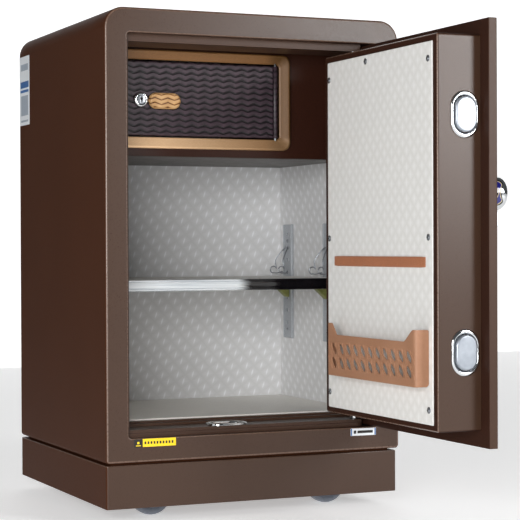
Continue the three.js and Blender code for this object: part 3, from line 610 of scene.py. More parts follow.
# moulded gold surround: rolled outer bead, hollow, sloping inner border
bm = bmesh.new()
prof = []                                             # (outer offset from the outer edge, y)
prof += [(0, 102.7), (0, 98.2)]
for k in range(1, 7):
    a = PI / 2 * k / 6
    prof.append((2.4 * (1 - math.cos(a)), 98.2 - 2.6 * math.sin(a)))
prof += [(3.0, 95.6), (3.6, 95.8), (9.0, 97.9), (14.2, 100.0), (14.9, 100.2), (15.5, 100.9), (16.2, 101.2), (16.2, 102.7)]
loops = []
for o, y in prof:
    r = max(12 - o * .36, 6.5)
    # the opening is not centred in the moulding: interpolate the four sides
    t = min(o / 16.2, 1)
    x0, x1 = -197 + 17 * t, 97 - 16 * t
    z0, z1 = 436 + 16 * t, 577 - 14 * t
    loops.append(xz(rr(x0, x1, z0, z1, r, 12), y))
loft(bm, loops, closed=True)
fix(bm)
finish_mesh("locker_surround", bm, MC, [GOLD], "cabinet", ["locker_frame"], 50)
finish_mesh("locker_hinge_pin", cad("locker_hinge_rod", .0003, 2), None, [STEEL], "cabinet", ["locker_hinge_rod"])

# locker door: plaited leather relief on a board with turned edges
def zz_height(x, z, wave=19.7, pitch=8.4, amp=1.7):
    f = x / wave % 1
    tri = 1 - abs(f - .5) * 2
    g = ((z + 2 * amp * tri) / pitch) % 1
    g = 1 - abs(g - .5) * 2
    s = min(g / .45, 1)
    return s * s * (3 - 2 * s)
bm = bmesh.new()
X0, X1, Z0, Z1 = -177.0, 70.4, 454.5, 560.5
nx, nz = 226, 128
gridv = []
for j in range(nz + 1):
    row = []
    z = Z0 + (Z1 - Z0) * j / nz
    for i in range(nx + 1):
        x = X0 + (X1 - X0) * i / nx
        e = min(x - X0, X1 - x, z - Z0, Z1 - z)
        edge = min(e / 2.0, 1)
        y = 99.3 - 1.3 * (zz_height(x, z) * .75 + .25) * math.sin(edge * PI / 2)
        y -= .12 * noise.noise(Vector((x * .35, z * .35, 3.0)))
        y = max(y, 98.0)
        row.append(bm.verts.new((x, y, z)))
    gridv.append(row)
for j in range(nz):
    for i in range(nx):
        bm.faces.new((gridv[j][i], gridv[j][i + 1], gridv[j + 1][i + 1], gridv[j + 1][i]))
# cut the hole for the cylinder
dead = [f for f in bm.faces if (f.calc_center_median().x + 138) ** 2 + (f.calc_center_median().z - 505) ** 2 < 6.6 ** 2]
bmesh.ops.delete(bm, geom=dead, context="FACES")
face_n = len(bm.faces)
board = plate(X0, 70.4, Z0, Z1, 99.35, 106, 1.0, "xz", .5)
join(bm, board)
fix(bm)
hb = bmesh.new()
lathe(hb, [(0, 454.5), (3.4, 454.5), (3.98, 455.1), (3.98, 559.9), (3.4, 560.5), (0, 560.5)], "z", (74.5, 102, 0), 28)
for a in (0,):
    fix(hb)
join(bm, hb)
finish_mesh("locker_door_leather", bm, MC, [DARKLEATHER], "locker_door", ["locker_door"], 60)

# oval pull pad
bm = bmesh.new()
px, pz, ph, pr = -102.0, 504.0, 24.5, 11.5
rings, seg = 16, 96
def oval_pt(t, k):
    # point on a stadium scaled by t toward its centre line
    w = 2 * PI * k / seg
    cx = (ph - pr) * (1 if math.cos(w) >= 0 else -1)
    return px + cx * min(1, t * 1.0) + pr * t * math.cos(w) if False else (px + (ph - pr) * max(-1, min(1, math.cos(w) * 2.2)) * t + pr * t * math.cos(w) * .999, pz + pr * t * math.sin(w))
outer = rr(px - ph, px + ph, pz - pr, pz + pr, pr - .01, 20)
n = len(outer)
loops = []
loops.append([(a, 97.7, b) for a, b in outer])
loops.append([(a, 95.2, b) for a, b in outer])
for k in range(1, 19):
    t = k / 18
    s = 1 - t
    lp = []
    for a, b in outer:
        dx, dz = a - px, b - pz
        core = max(-(ph - pr), min(ph - pr, dx))
        qx = px + core * (1 - t * .0) * (1 if s > 0 else 1) + (dx - core) * s
        qx = px + core + (dx - core) * s if k < 18 else px + core
        qz = pz + dz * s
        crown = 95.2 - 2.6 * math.sin(min(t / .3, 1) * PI / 2)
        g = zz_height(qx, qz + 1.5, 19.7, 8.4, 1.6)
        y = crown - .95 * g * min(t / .15, 1)
        lp.append((qx, y, qz))
    loops.append(lp)
loft(bm, loops, cap0=True, cap1=False)
fix(bm)
finish_mesh("locker_pull_pad", bm, MC, [TANLEATHER], "locker_door", ["locker_pull"], 70)
# stitched welt round the pad
bm = bmesh.new()
path = [(px + (a - px) * 1.0, 97.2, pz + (b - pz) * 1.0) for a, b in rr(px - ph + .2, px + ph - .2, pz - pr + .2, pz + pr - .2, pr - .3, 10)]
tube(bm, path + [path[0]], .55, 8, 2)
fix(bm)
finish_mesh("locker_pull_welt", bm, MC, [DARK_RECESS_AND_WELT], "locker_door")

# cylinder lock of the locker
bm = bmesh.new()
lathe(bm, [(6.7, 97.7), (10.4, 97.7), (10.5, 97.0), (10.4, 95.6), (9.6, 94.5), (8.3, 94.05), (7.2, 94.3), (6.7, 95.0), (6.7, 97.7)], "y", (-138, 0, 505), 48)
fix(bm)
finish_mesh("locker_lock_rosette", bm, MC, [CHROME], "locker_door", ["locker_lock_ring"], 40)
bm = cad("locker_lock_plug", .0003, 2)
finish_mesh("locker_lock_cylinder", bm, None, [STEEL], "locker_plug", ["locker_lock_plug"])
# keyhole as a thin flat dark shape on the plug face: painted shade for the keyway
bm = bmesh.new()
lathe(bm, [(0, 92.96), (1.9, 92.96), (2.0, 92.9), (1.9, 92.84), (0, 92.84)], "y", (-138, 0, 506.0), 20)
bx = plate(-138.85, -137.15, 500.6, 506, 92.84, 92.96, .3, "xz", .04)
join(bm, bx)
fix(bm)
finish_mesh("locker_keyhole", bm, MC, [DARK_RECESS_AND_WELT], "locker_plug")

# ---------------------------------------------------------------- shelf
finish_mesh("shelf_lining", cad("shelf_board", .001, 3), None, [FLOORING], "cabinet", ["shelf_board"])
bm = bmesh.new()
sec = [(95.0, 231.7), (95.0, 247.3), (94.6, 247.4), (93.6, 247.4)]
def bead(za, zb, out, n):
    for a in range(n):
        w = PI / 2 - PI * a / (n - 1)
        sec.append((93.5 - out * (math.cos(w) ** .6 if math.cos(w) > 0 else 0), (za + zb) / 2 + (zb - za) / 2 * math.sin(w)))
bead(244.9, 247.3, 1.5, 9)
bead(234.6, 244.5, 2.05, 13)
bead(231.75, 234.2, 1.6, 9)
sec += [(93.6, 231.6), (94.6, 231.6)]
loft(bm, [[(x, a, b) for a, b in sec] for x in (-202.35, -202.0, -100, 0, 100, 202.0, 202.35)])
fix(bm)
finish_mesh("shelf_edge_trim", bm, MC, [TRIM], "cabinet", ["shelf_trim"], 45)
bm = plate(-202.2, 202.2, 91.55, 94.9, 231.0, 231.55, .4, "xy", .2)
finish_mesh("shelf_trim_lower_lip", bm, MC, [CHROME], "cabinet")

# rails, brackets and clips
def rail(side, place):
    nd = f"rail_{side}_{place}"
    bm = cad(nd, .0005, 2)
    s = 1 if side == "right" else -1
    yc = {"front": 182, "rear": 328.5}[place]
    extra = bmesh.new()
    # side lips of the channel and the fixing screws
    for y0, y1 in ((yc - 15, yc - 12.6), (yc + 12.6, yc + 15)):
        p = plate(y0, y1, 147, 330, 198.2, 199.3, .4, "yz", .3)
        if s < 0:
            p.transform(Matrix.Diagonal((-1, 1, 1, 1)))
            bmesh.ops.reverse_faces(p, faces=p.faces)
        join(extra, p)
    for z in (161, 304):
        pan_screw(extra, (s * 199.15, yc, z), "x", -s, 3.0, 1.2, 1, 2)
    extra.transform(MC)
    join(bm, extra)
    finish_mesh(nd + "_channel", bm, None, [GALV, STEEL, DARK_RECESS_AND_WELT], "cabinet", [nd])
for s_ in ("left", "right"):
    for p_ in ("front", "rear"):
        rail(s_, p_)
        nd = f"shelf_bracket_{s_}_{p_}"
        finish_mesh(nd + "_plated", cad(nd, .0007, 3), None, [ZINC], "cabinet", [nd])

def clip(side, place):
    s = 1 if side == "right" else -1
    yc = {"front": 182, "rear": 328.5}[place]
    bm = bmesh.new()
    def leg(dy0, dy1):
        sg = 1 if dy1 > 0 else -1
        l = [(s * 194, yc + dy1 * .55, 254), (s * 187, yc + dy1 * .95 + sg * 1.6, 251.6)]
        for a in range(11):
            w = -PI / 2 + .35 - (a / 10) * PI * 1.45
            l.append((s * (181 + 5.4 * math.cos(w)), yc + dy1 + sg * 1.4 * (1 - a / 5), 257.2 + 5.4 * math.sin(w)))
        l += [(s * 184, yc + dy1 * .9, 272), (s * 191, yc + (dy0 + dy1) * .5, 285), (s * 196.6, yc + dy0, 292.5)]
        return l
    tube(bm, leg(-4, -16) + leg(4, 16)[::-1], .95, 10, 5)
    fix(bm)
    finish_mesh(f"shelf_clip_{side}_{place}_wire", bm, MC, [STEEL], "cabinet", [f"shelf_clip_{side}_{place}"], 60)
for s_ in ("left", "right"):
    for p_ in ("front", "rear"):
        clip(s_, p_)

# sill receiver ring
bm = bmesh.new()
loops = []
for o, z in ((0, 43.2), (0, 44.4), (.5, 45.3), (1.6, 45.8), (3.2, 45.9), (5.0, 45.5), (6.0, 44.6), (6.4, 43.2)):
    loops.append(xy(rr(-33 - 30.5 + o, -33 + 30.5 - o, 37 - 19 + o * .72, 37 + 19 - o * .72, 19 - o * .72 - .01, 14), z))
loft(bm, loops, closed=True)
fix(bm)
finish_mesh("sill_bolt_receiver", bm, MC, [CHROME], "cabinet", ["sill_receiver"], 60)

# ------------------------------------------------------ plinth and casters
bm = bmesh.new()
loops, mats = [], []
def pl(o, z): return xy(rr(-224.4 + o, 220.6 - o, 1.5 + o, 412.2 - o, max(3 - o, .6), 6), z)
# loops marked 1, round the top edge, take the lighter edge copy: painted highlight
for o, z, mi in ((3.2, -59.6, 0), (3.2, -62.6, 0), (.9, -62.6, 0), (.25, -62.35, 0), (0, -61.7, 0), (0, -60.6, 0), (0, -5.3, 0), (0, -4.2, 1), (.3, -3.4, 1), (1.2, -3.0, 0), (9, -3.0, 0), (9, -.35, 0), (10, -.35, 0)):
    loops.append(pl(o, z)); mats.append(mi)
loft(bm, loops, cap0=False, cap1=True, mats=mats)
loft(bm, [pl(3.2, -59.6), pl(3.2, -7)], cap0=False, cap1=True)
fix(bm)
# front faces take the glossier front copy of the paint: painted sheen by facing
for f in bm.faces:
    if f.normal.y < -.9 and f.calc_center_median().y < 2:
        f.material_index = 2
finish_mesh("plinth_skirt", bm, MC, [BROWN, BROWN_HIGHLIGHT_EDGE, BROWN_FACE], "cabinet", ["plinth"], 40)

for nm, sx, sy in (("front_left", -1, 68), ("rear_left", -1, 345), ("front_right", 1, 68), ("rear_right", 1, 345)):
    finish_mesh(f"caster_{nm}_fork_plate", cad(f"caster_fork_{nm}", .0005, 2), None, [STEEL], f"caster_{nm}", [f"caster_fork_{nm}"])
    bm = bmesh.new()
    cx = sx * 137
    prof = [(4.3, -12), (8, -12), (8.2, -11.4), (8.4, -9.0), (12, -8.2), (20, -8.0), (22, -9.2), (26.5, -9.9), (28.2, -9.4), (29.4, -7.4), (29.98, -4.5), (29.98, 4.5), (29.4, 7.4), (28.2, 9.4), (26.5, 9.9), (22, 9.2), (20, 8.0), (12, 8.2), (8.4, 9.0), (8.2, 11.4), (8, 12), (4.3, 12), (4.3, -12)]
    lathe(bm, prof, "y", (cx, sy, -52.5), 72)
    # five cored recesses read as ribs on the wheel's faces
    for k in range(6):
        a = 2 * PI * k / 6
        for sgn in (-1, 1):
            rb = plate(-1.1, 1.1, 9, 20.5, 8.0, 9.1, .5, "xz", .3)
            for v in rb.verts:
                v.co = Vector((v.co.x, sgn * v.co.y, v.co.z))
            if sgn < 0:
                bmesh.ops.reverse_faces(rb, faces=rb.faces)
            rb.transform(Matrix.Translation((cx, sy, -52.5)) @ Matrix.Rotation(a, 4, "Y"))
            join(bm, rb)
    fix(bm)
    finish_mesh(f"caster_{nm}_tyre", bm, MC, [WHEEL], f"wheel_{nm}", [f"caster_wheel_{nm}"], 40)

# =============================================================== main door
bm = cad("door_plate", 0)
bevel(bm, .0011, 3, 60)
# split by facing into copies of one paint: the latch edge a semi-gloss copy, the outer face the glossy front copy, all
# other faces the darker door copy as painted shade
for f in bm.faces:
    f.material_index = 1 if f.normal.y < -.7 else 2 if f.normal.x > .7 else 0
door = finish_mesh("door_slab", bm, None, [BROWN_DOOR_SHADE, BROWN_SLAB, BROWN_FACE], "main_door", ["door_plate"], 35)

# pressed pan behind the slab: rounded corner between its sides and its rim
bm = bmesh.new()
loops, mats = [], []
def pn(o, y, r=3.0): return xz(rr(-171 + o, 151 - o, 57 + o, 566 - o, max(r - o, .6), 6), y)
loops.append(pn(0, 13.3)); mats.append(0)
for y in (30, 50, 72):
    loops.append(pn(0, y)); mats.append(0)
for k in range(7):
    a = PI / 2 * k / 6
    loops.append(pn(2.6 * (1 - math.cos(a)), 74.4 + 2.6 * math.sin(a)))
    # the middle of the rim's round takes the lighter edge copy: painted highlight
    mats.append(1 if 1 <= k <= 4 else 0)
loops.append(xz(rr(-160.3, 141.3, 64.7, 557.3, 1.2, 6), 77.0)); mats.append(0)
loops.append(xz(rr(-160.3, 141.3, 64.7, 557.3, 1.2, 6), 74.6)); mats.append(0)
loops.append(xz(rr(-150, 139, 74, 547, 1.2, 6), 74.6)); mats.append(0)
loft(bm, loops, cap0=False, cap1=False, mats=mats)
fix(bm)
# the latch face takes the glossy front copy; the pan's other sides keep the darker door copy: painted shade
for f in bm.faces:
    if f.normal.x < -.9 and f.calc_center_median().x < -168:
        f.material_index = 2
# holes for the two bolts in the latch side, and for the floor bolt
pan = finish_mesh("door_pan_pressing", bm, MD, [BROWN_DOOR_SHADE, BROWN_HIGHLIGHT_EDGE, BROWN_FACE], "main_door", ["door_pan"], 40)

def boolean_cut(obj, cutters):
    for c in cutters:
        md = obj.modifiers.new("cut", "BOOLEAN")
        md.operation = "DIFFERENCE"
        md.solver = "EXACT"
        md.object = c
    dg = bpy.context.evaluated_depsgraph_get()
    me = bpy.data.meshes.new_from_object(obj.evaluated_get(dg))
    obj.modifiers.clear()
    obj.data = me
    for c in cutters:
        bpy.data.objects.remove(c)

def cutter(loops, M):
    b = bmesh.new()
    loft(b, loops)
    fix(b)
    b.transform(M)
    me = bpy.data.meshes.new("cutter")
    b.to_mesh(me); b.free()
    o = bpy.data.objects.new("cutter", me)
    bpy.context.scene.collection.objects.link(o)
    return o
st = lambda y, z, a, b: rr(y - a / 2, y + a / 2, z - b / 2, z + b / 2, min(a, b) / 2 - .02, 10)
boolean_cut(pan, [cutter([yz(st(37, z, 33, 48), -176), yz(st(37, z, 33, 48), -168.4)], MD) for z in (463, 158)]
            + [cutter([xy(st(-33, 37, 46, 28), 52), xy(st(-33, 37, 46, 28), 62)], MD)])

# embossed cover, turned over at its edges, on cup washers
bm = plate(-160, 141, 65, 557, 74.9, 78.3, 2, "xz", 1.4, 6, 4)
finish_mesh("door_cover_leatherette", bm, MD, [COVER], "main_door", ["inner_cover"], 40)
bm = bmesh.new()
for x, z in ((135.5, 532), (135.5, 306), (135.5, 87), (-150, 535), (-150, 306), (-150, 84), (23, 548)):
    pan_screw(bm, (x, 78.25, z), "y", 1, 2.7, 1.2, 0, 1, washer=4.4)
fix(bm)
finish_mesh("cover_screws", bm, MD, [STEEL, DARK_RECESS_AND_WELT], "main_door", angle=40)

# strap
bm = bmesh.new()
loops = []
for k in range(25):
    t = k / 24
    x = -143 + 260 * t
    e = min(t, 1 - t) * 260
    q = min(e / 5, 1)
    b = .5 + .5 * math.sqrt(max(0, 1 - (1 - q) ** 2)) if e < 5 else 1
    th = 2.3 * (0.55 + .45 * min(e / 8, 1))
    hz = 7.0 * (.86 + .14 * b)
    loops.append([(x, 78.62 + (c[0] + 1) * .5 * th, 274 + c[1] * hz) for c in [(-1, -1), (-1, 1), (.4, 1), (.9, .94), (1, .8), (1, .2), (.94, 0), (1, -.2), (1, -.8), (.9, -.94), (.4, -1)]])
loft(bm, loops)
fix(bm)
finish_mesh("document_strap", bm, MD, [STRAP], "main_door", ["cover_strap"], 50)

# pierced basket: a sheet with lens-shaped openings, bent round two soft corners
def basket():
    cu = bpy.data.curves.new("basket_flat", "CURVE")
    cu.dimensions = "2D"
    cu.fill_mode = "BOTH"
    cu.extrude = .6
    cu.bevel_depth = .3
    cu.bevel_resolution = 2
    R = 5.0
    xa, xb, yo, yw = -151.0, 103.6, 98.9, 78.8
    arc = PI / 2 * (R - 1.2)
    # middle line of the sheet: end wall, corner, front, corner, end wall
    m = 1.2
    L1 = yo - R - yw
    Lc = PI / 2 * (R - m)
    L2 = (xb - R) - (xa + R)
    def place(s, t):
        # s along the sheet, t outward from its middle
        if s < L1:
            return xa + m - t, yw + s
        s -= L1
        if s < Lc:
            w = s / Lc * PI / 2
            r = R - m + t
            return xa + R - r * math.cos(w), yo - R + r * math.sin(w)
        s -= Lc
        if s < L2:
            return xa + R + s, yo - m + t
        s -= L2
        if s < Lc:
            w = s / Lc * PI / 2
            r = R - m + t
            return xb - R + r * math.sin(w), yo - R + r * math.cos(w)
        s -= Lc
        return xb - m + t, yo - R - s
    T = 2 * L1 + 2 * Lc + L2
    s_of = lambda x: L1 + Lc + (x - xa - R)
    z0, zt, zh = 114.3, 171.0, 187.0
    out = [(0, 118), (1.0, 115.5), (3.5, z0), (T - 3.5, z0), (T - 1.0, 115.5), (T, 118), (T, 163), (T - .7, 164.4), (T - 2.2, 165),
           (T - L1 + 3.0, 165.4), (T - L1 + .6, 167.0), (T - L1 - .8, 171.0), (T - L1 - 1.6, 181.0), (T - L1 - 3.0, zh - 1.6), (T - L1 - 5.0, zh - .2), (T - L1 - 6.4, zh),
           (s_of(90.5), zh), (s_of(88.4), zh - .9), (s_of(86.6), zh - 3.0), (s_of(78.0), zt + 3.4), (s_of(75.8), zt + .8), (s_of(73.0), zt),
           (s_of(-118.2), zt), (s_of(-121.7), zt + .8), (s_of(-124.8), zt + 2.6), (s_of(-135.2), zt + 10.6), (s_of(-138.7), zt + 13.4), (s_of(-141.7), zh - .8), (s_of(-144.2), zh), (2.2, zh), (.7, zh - .6), (0, zh - 2)]
    def spline(pts):
        sp = cu.splines.new("POLY")
        sp.points.add(len(pts) - 1)
        for p, q in zip(sp.points, pts):
            p.co = (q[0], q[1], 0, 1)
        sp.use_cyclic_u = True
    spline(out)
    for row in range(2):
        zc = 152.2 - 19.4 * row
        for c in range(11):
            xc = 82.0 - 21.5 * c
            pts = []
            for k in range(22):
                w = 2 * PI * k / 22
                zz = 8.3 * math.cos(w)
                xx = 6.5 * math.sin(w) * (1 - .3 * abs(math.cos(w)))
                pts.append((s_of(xc + xx + .62 * zz), zc + zz))
            spline(pts)
    ob = bpy.data.objects.new("basket_flat", cu)
    bpy.context.scene.collection.objects.link(ob)
    dg = bpy.context.evaluated_depsgraph_get()
    me = bpy.data.meshes.new_from_object(ob.evaluated_get(dg))
    bpy.data.objects.remove(ob)
    bm = bmesh.new()
    bm.from_mesh(me)
    bpy.data.meshes.remove(me)
    bmesh.ops.remove_doubles(bm, verts=bm.verts, dist=.001)
    cuts = [L1 + Lc * k / 8 for k in range(9)] + [L1 + Lc + L2 + Lc * k / 8 for k in range(9)] + [L1 / 2, T - L1 / 2]
    for s in cuts:
        bmesh.ops.bisect_plane(bm, geom=bm.verts[:] + bm.edges[:] + bm.faces[:], plane_co=(s, 0, 0), plane_no=(1, 0, 0))
    for v in bm.verts:
        x, y = place(v.co.x, -v.co.z)
        v.co = Vector((x, y, v.co.y))
    fix(bm)
    # moulded lattice ribs that cross between the openings
    for row in range(2):
        zc = 152.2 - 19.4 * row
        for c in range(12):
            xc = 82.0 + 10.75 - 21.5 * c
            pts = [(xc + .62 * zz + 1.3 * math.sin(zz / 8.4 * PI), yo - .15, zc + zz) for zz in (-9.0, -4.5, 0, 4.5, 9.0)]
            if xc < 95 and xc > -146:
                tube(bm, pts, .75, 8, 4)
    # floor of the basket
    fl = plate(xa + 1.6, xb - 1.6, yw + .2, yo - 1.6, z0 + .2, z0 + 2.4, 6, "xy", .5, 6, 3)
    join(bm, fl)
    return bm
finish_mesh("document_basket_moulding", basket(), MD, [BASKET], "main_door", ["document_basket"], 45)

# hinge side
# the knuckle bar takes the darker door copy of the paint: painted shade
finish_mesh("hinge_knuckle_bar", cad("hinge_bar", .0008, 3), None, [BROWN_DOOR_SHADE], "main_door", ["hinge_bar"])
for nd in ("hinge_pin_top", "hinge_pin_bottom"):
    finish_mesh(nd + "_turned", cad(nd, .0006, 3, 40), None, [CHROME], "main_door", [nd], 50)

# bolts and their escutcheons
def escutcheon(name, node, cx, cz, a, b, ha, hb, plane, base, out, sgn):
    bm = bmesh.new()
    loops = []
    for o, d in ((0, 0), (0, .45), (.35, 1.2), (1.2, 1.85), (2.2, 2.1), (3.0, 1.9), (3.6, 1.2), (3.95, .4), (3.98, 0)):
        pts = rr(cx - a / 2 + o, cx + a / 2 - o, cz - b / 2 + o * (b - hb) / (a - ha), cz + b / 2 - o * (b - hb) / (a - ha), min(a, b) / 2 - o - .01, 16)
        c = base + sgn * d * out
        loops.append(yz(pts, c) if plane == "yz" else xy(pts, c))
    loft(bm, loops, closed=True)
    fix(bm)
    finish_mesh(name, bm, MD, [CHROME], "main_door", [node], 60)
escutcheon("bolt_escutcheon_upper", "escutcheon_upper", 37, 463, 41, 61, 33, 48, "yz", -171.3, 1.0, -1)
escutcheon("bolt_escutcheon_lower", "escutcheon_lower", 37, 158, 41, 61, 33, 48, "yz", -171.3, 1.0, -1)
bm = bmesh.new()
loops = []
for o, d in ((0, 0), (0, .4), (.4, 1.1), (1.4, 1.7), (3.4, 1.85), (5.2, 1.5), (5.9, .6), (5.95, 0)):
    loops.append(xy(rr(-63 + o * 1.17, -3 - o * 1.17, 17 + o, 57 - o, 20 - o - .01, 16), 56.7 - d))
loft(bm, loops, closed=True)
fix(bm)
finish_mesh("bolt_escutcheon_bottom", bm, MD, [CHROME], "main_door", ["escutcheon_bottom"], 60)
for nm, z in (("upper", 463), ("lower", 158)):
    bm = bmesh.new()
    loops = []
    for k in range(7):
        a = PI / 2 * k / 6
        o = 2.4 * (1 - math.sin(a))
        loops.append(yz(rr(37 - 15.5 + o, 37 + 15.5 - o, z - 23 + o, z + 23 - o, 15.48 - o, 16), -177 + 2.4 * (1 - math.cos(a))))
    loops.append(yz(rr(37 - 15.5, 37 + 15.5, z - 23, z + 23, 15.48, 16), -146.3))
    loft(bm, loops)
    fix(bm)
    finish_mesh(f"bolt_{nm}_bar", bm, MD, [SATIN], "bolt_carriage", [f"bolt_{nm}"], 50)
finish_mesh("bolt_carriage_bar", cad("bolt_carriage", .0004, 2), None, [STEEL], "bolt_carriage", ["bolt_carriage"])
finish_mesh("floor_bolt_rod", cad("bolt_floor", .0005, 2), None, [CHROME], "floor_bolt", ["bolt_floor"])
finish_mesh("lock_case_box", cad("lock_case", .001, 3), None, [STEEL], "main_door", ["lock_case"])
finish_mesh("drive_crank_plate", cad("drive_crank", .0004, 2, 50), None, [STEEL], "knob", ["drive_crank"])

# outer lock furniture: plate, touch keypad, knob, key
bm = plate(-166, -96, 306, 522, -3.3, -.3, 16, "xz", 1.1, 12, 4)
lp = finish_mesh("lock_face_plate", bm, MD, [DARKGLOSS], "main_door", ["lock_plate"], 40)
circ = lambda x, z, r, n=36: [(x + r * math.cos(2 * PI * k / n), z + r * math.sin(2 * PI * k / n)) for k in range(n)]
boolean_cut(lp, [cutter([xz(circ(-131, 364, 7.8), -6), xz(circ(-131, 364, 7.8), 2)], MD),
                 cutter([xz(circ(-131, 330, 4.6), -6), xz(circ(-131, 330, 4.6), 2)], MD)])
bm = plate(-161, -101, 410, 512, -9.5, -3.6, 11, "xz", 1.6, 12, 4)
for f in bm.faces:
    f.material_index = 0
kp = bmesh.new()
for r in range(4):
    for c in range(3):
        cx, cz = -131 + (c - 1) * 17, 489 - r * 19
        ring = bmesh.new()
        loops = []
        for q, y in ((6.2, -9.55), (6.2, -9.72), (5.7, -9.72), (5.7, -9.55)):
            loops.append(xz(circ(cx, cz, q), y))
        loft(ring, loops, closed=True)
        join(kp, ring)
for f in kp.faces:
    f.material_index = 1
fix(kp)
join(bm, kp)
finish_mesh("touch_keypad", bm, MD, [BLACKGLOSS, STEEL], "main_door", ["keypad"], 40)

# knob: turned chrome with three inlaid panels round its rim
bm = bmesh.new()
prof = [(7.3, 6), (13, 6), (15, 6.6), (15.3, 8.4), (16.4, 10), (20.4, 11), (22.2, 12.6), (23, 15.5), (23, 33), (22.6, 35.6), (21.5, 38), (19.6, 40.1), (17, 41.6), (13, 42.9), (9, 43.6), (4, 43.9), (0, 44)]
lathe(bm, [(r, -h) for r, h in prof], "y", (-131, 0, 364), 72)
fix(bm)
finish_mesh("knob_turned", bm, MD, [CHROME], "knob", ["knob"], 35)

def knob_inlay(name, scale, lift, mat, ang):
    """dumbbell panel wrapped on the knob's rim, lengthways round it"""
    bm = bmesh.new()
    n = 40
    top = []
    ring = []
    for k in range(n):
        w = 2 * PI * k / n
        # outline: two lobes joined by a waist; s runs round the rim, t along the axis
        s = 17.0 * math.cos(w)
        lobe = math.sqrt(max(0, 1 - ((abs(s) - 9.8) / 7.4) ** 2)) if abs(s) > 9.8 else 1
        waist = .42 + .58 * min(abs(s) / 9.8, 1) ** 1.6
        half = 8.2 * (lobe if abs(s) > 9.8 else waist)
        t = half * (1 if math.sin(w) >= 0 else -1) if abs(math.sin(w)) > 1e-6 else 0
        ring.append((s, t))
    def pt(s, t, q, l):
        a = ang + s * q / 23.0
        r = 23.0 + l
        return (-131 + r * math.cos(a), -(25.2 + t * q), 364 + r * math.sin(a))
    N_ = 25
    rows = []
    for i in range(N_ + 1):
        s = -19 + 38 * i / N_
        lobe = math.sqrt(max(0, 1 - ((abs(s) - 11.6) / 7.45) ** 2)) if abs(s) > 11.6 else 1
        waist = .46 + .54 * min(abs(s) / 11.6, 1) ** 1.8
        half = max(7.6 * (lobe if abs(s) > 11.6 else waist), .15)
        half = max(half - scale, .05)
        ss = s * (19 - scale) / 19
        row = [(ss, -half + 2 * half * j / 6) for j in range(7)]
        rows.append(row)
    def P(s, t, l):
        a = ang + s / 23.0
        r = 23.0 + l
        return (-131 + r * math.cos(a), -(25.2 + t), 364 + r * math.sin(a))
    up = [[bm.verts.new(P(s, t, lift)) for s, t in row] for row in rows]
    dn = [[bm.verts.new(P(s, t, -.3)) for s, t in row] for row in rows]
    for i in range(N_):
        for j in range(6):
            bm.faces.new((up[i][j], up[i][j + 1], up[i + 1][j + 1], up[i + 1][j]))
            bm.faces.new((dn[i][j], dn[i + 1][j], dn[i + 1][j + 1], dn[i][j + 1]))
        bm.faces.new((up[i][0], up[i + 1][0], dn[i + 1][0], dn[i][0]))
        bm.faces.new((up[i][6], dn[i][6], dn[i + 1][6], up[i + 1][6]))
    bm.faces.new([up[0][j] for j in range(7)] + [dn[0][j] for j in range(6, -1, -1)])
    bm.faces.new([up[N_][j] for j in range(6, -1, -1)] + [dn[N_][j] for j in range(7)])
    fix(bm)
    return bm
for i in range(3):
    ang = PI + i * 2 * PI / 3
    for nm, sc, lf, mt in (("rim", 0, .12, BLACKGLOSS), ("line", 2.0, .2, PALE), ("panel", 3.0, .3, BLUE)):
        finish_mesh(f"knob_inlay_{nm}_{i + 1}", knob_inlay(nm, sc, lf, mt, ang), MD, [mt], "knob")

finish_mesh("key_cut", cad("key", .0003, 2), None, [STEEL], "key", ["key"])

# ------------------------------------------------- labels, blank and generic
def label(name, x0, x1, z0, z1, mats, body="cabinet", M=MC, y=0.0, plane="xz", blocks=()):
    bm = bmesh.new()
    loops = []
    put = xz if plane == "xz" else yz
    s = -1
    for o, d in ((0, .02), (0, .12), (.12, .22)):
        loops.append(put(rr(x0 + o, x1 - o, z0 + o, z1 - o, .5, 3), y + s * d))
    loft(bm, loops, cap0=False, cap1=True)
    for (a0, a1, b0, b1, mi) in blocks:
        f = bm.faces.new([bm.verts.new(p) for p in (put([(a0, b0), (a1, b0), (a1, b1), (a0, b1)], y + s * .25))])
        f.material_index = mi
    if plane == "xz":
        for f in bm.faces:
            f.normal_update()
            if abs(f.normal.y) > .5 and f.normal.y > 0: f.normal_flip()
    else:
        for f in bm.faces:
            f.normal_update()
            if abs(f.normal.x) > .5 and f.normal.x > 0: f.normal_flip()
    finish_mesh(name, bm, M, mats, body)
label("label_lower_yellow", -172.5, -124, 21.3, 32.2, [YELLOW, BLACK], blocks=[(-170 + 4.4 * k, -167.4 + 4.4 * k, 25, 28.6, 1) for k in range(10)])
label("label_lower_black", -185, -173, 21, 32, [BLACK, YELLOW], blocks=[(-182.5, -175.5, 22.6, 23.8, 1), (-180.5, -177.5, 25.5, 28.5, 1)])
label("label_lower_white", 146, 187, 21, 31.5, [WHITE, LABELBLUE, BLACK], blocks=[(146.3, 148.3, 21.3, 31.2, 1), (184.7, 186.7, 21.3, 31.2, 1), (151, 155, 24, 28.5, 2), (157, 182, 24.4, 28.2, 2)])
label("label_side", 358, 419 - 8, 485, 592, [WHITE, LABELBLUE, LABELGREY, BLACK], y=-225.0, plane="yz",
      blocks=[(362, 406, 543, 553, 1), (362, 406, 536, 540, 1), (365, 403, 500, 531, 2), (365, 403, 570, 580, 2), (365, 403, 490, 493, 2)])

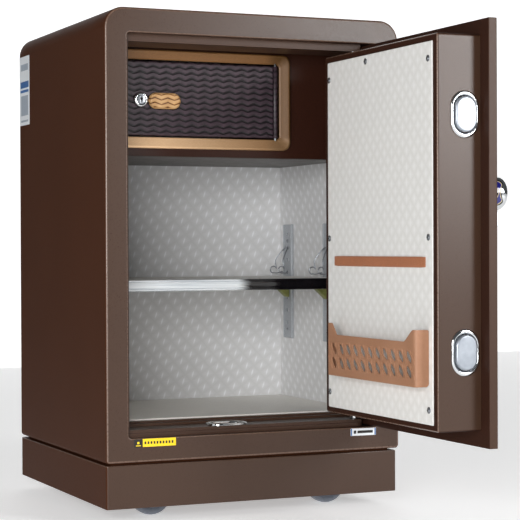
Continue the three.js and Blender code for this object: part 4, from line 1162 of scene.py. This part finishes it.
# ------------------------------------------------------------------ stage
def paper(name, glow, fade=False):
    m, nt, bs = new_mat(name)
    n = N(nt)
    f = n.noise(n.obj(), .6, 2, .5)
    nt.links.new(n.ramp(f, [(.3, (.86, .86, .86, 1)), (.7, (.9, .9, .9, 1))]), bs.inputs["Base Color"])
    bs.inputs["Roughness"].default_value = .6
    bs.inputs["Specular IOR Level"].default_value = .1
    bs.inputs["Emission Color"].default_value = (1, 1, 1, 1)
    # with fade the glow dims toward the left, so the floor throws less light on the body's left side: a glowing floor
    # standing in for a lamp
    if fade:
        x, y, z = n.split(n.obj())
        nt.links.new(n.maprange(x, -.75, -.32, glow * .12, glow, True), bs.inputs["Emission Strength"])
    else:
        bs.inputs["Emission Strength"].default_value = glow
    return m
def stage():
    m, m2 = paper("studio_floor", .42, True), paper("studio_sweep", .8)
    bm = bmesh.new()
    pts = [(-6.0, 0.0), (3.0, 0.0)]
    for k in range(1, 13):
        a = PI / 2 * k / 12
        pts.append((3.0 + 1.5 * math.sin(a), 1.5 - 1.5 * math.cos(a)))
    pts.append((4.5, 7.0))
    bm.faces.new([bm.verts.new(p) for p in ((-7, -6, -.0004), (8, -6, -.0004), (8, 3, -.0004), (-7, 3, -.0004))])
    rows = [[bm.verts.new((x, y, z)) for y, z in pts] for x in (-.6, 8.0)]
    for i in range(len(pts) - 1):
        bm.faces.new((rows[0][i], rows[1][i], rows[1][i + 1], rows[0][i + 1]))
    bmesh.ops.recalc_face_normals(bm, faces=bm.faces)
    me = bpy.data.meshes.new("studio_sweep")
    bm.to_mesh(me); bm.free()
    me.materials.append(m)
    me.materials.append(m2)
    for p in me.polygons:
        if p.center.y > 2.9:
            p.material_index = 1
    me.shade_smooth()
    o = bpy.data.objects.new("studio_sweep", me)
    bpy.context.scene.collection.objects.link(o)
stage()

def area(name, loc, target, size, power, color=(1, 1, 1)):
    ld = bpy.data.lights.new(name, "AREA")
    ld.shape = "RECTANGLE"
    ld.size, ld.size_y = size
    ld.energy = power
    ld.color = color
    o = bpy.data.objects.new(name, ld)
    bpy.context.scene.collection.objects.link(o)
    o.location = loc
    d = Vector(target) - Vector(loc)
    o.rotation_euler = d.to_track_quat("-Z", "Y").to_euler()
    return o
area("key_front_right", (1.2, -1.95, .92), (.05, 0, .4), (.55, .9), 21.5)
area("front_left_soft", (-1.65, -2.45, .62), (.0, .1, .33), (1.2, 1.1), 60)
area("left_soft", (-2.4, -.8, .9), (.1, -.1, .35), (1.4, 1.4), 9)
w = bpy.data.worlds.new("studio")
w.use_nodes = True
w.node_tree.nodes["Background"].inputs[0].default_value = (.95, .97, 1, 1)
w.node_tree.nodes["Background"].inputs[1].default_value = .08
bpy.context.scene.world = w
bpy.context.scene.view_settings.view_transform = "Standard"
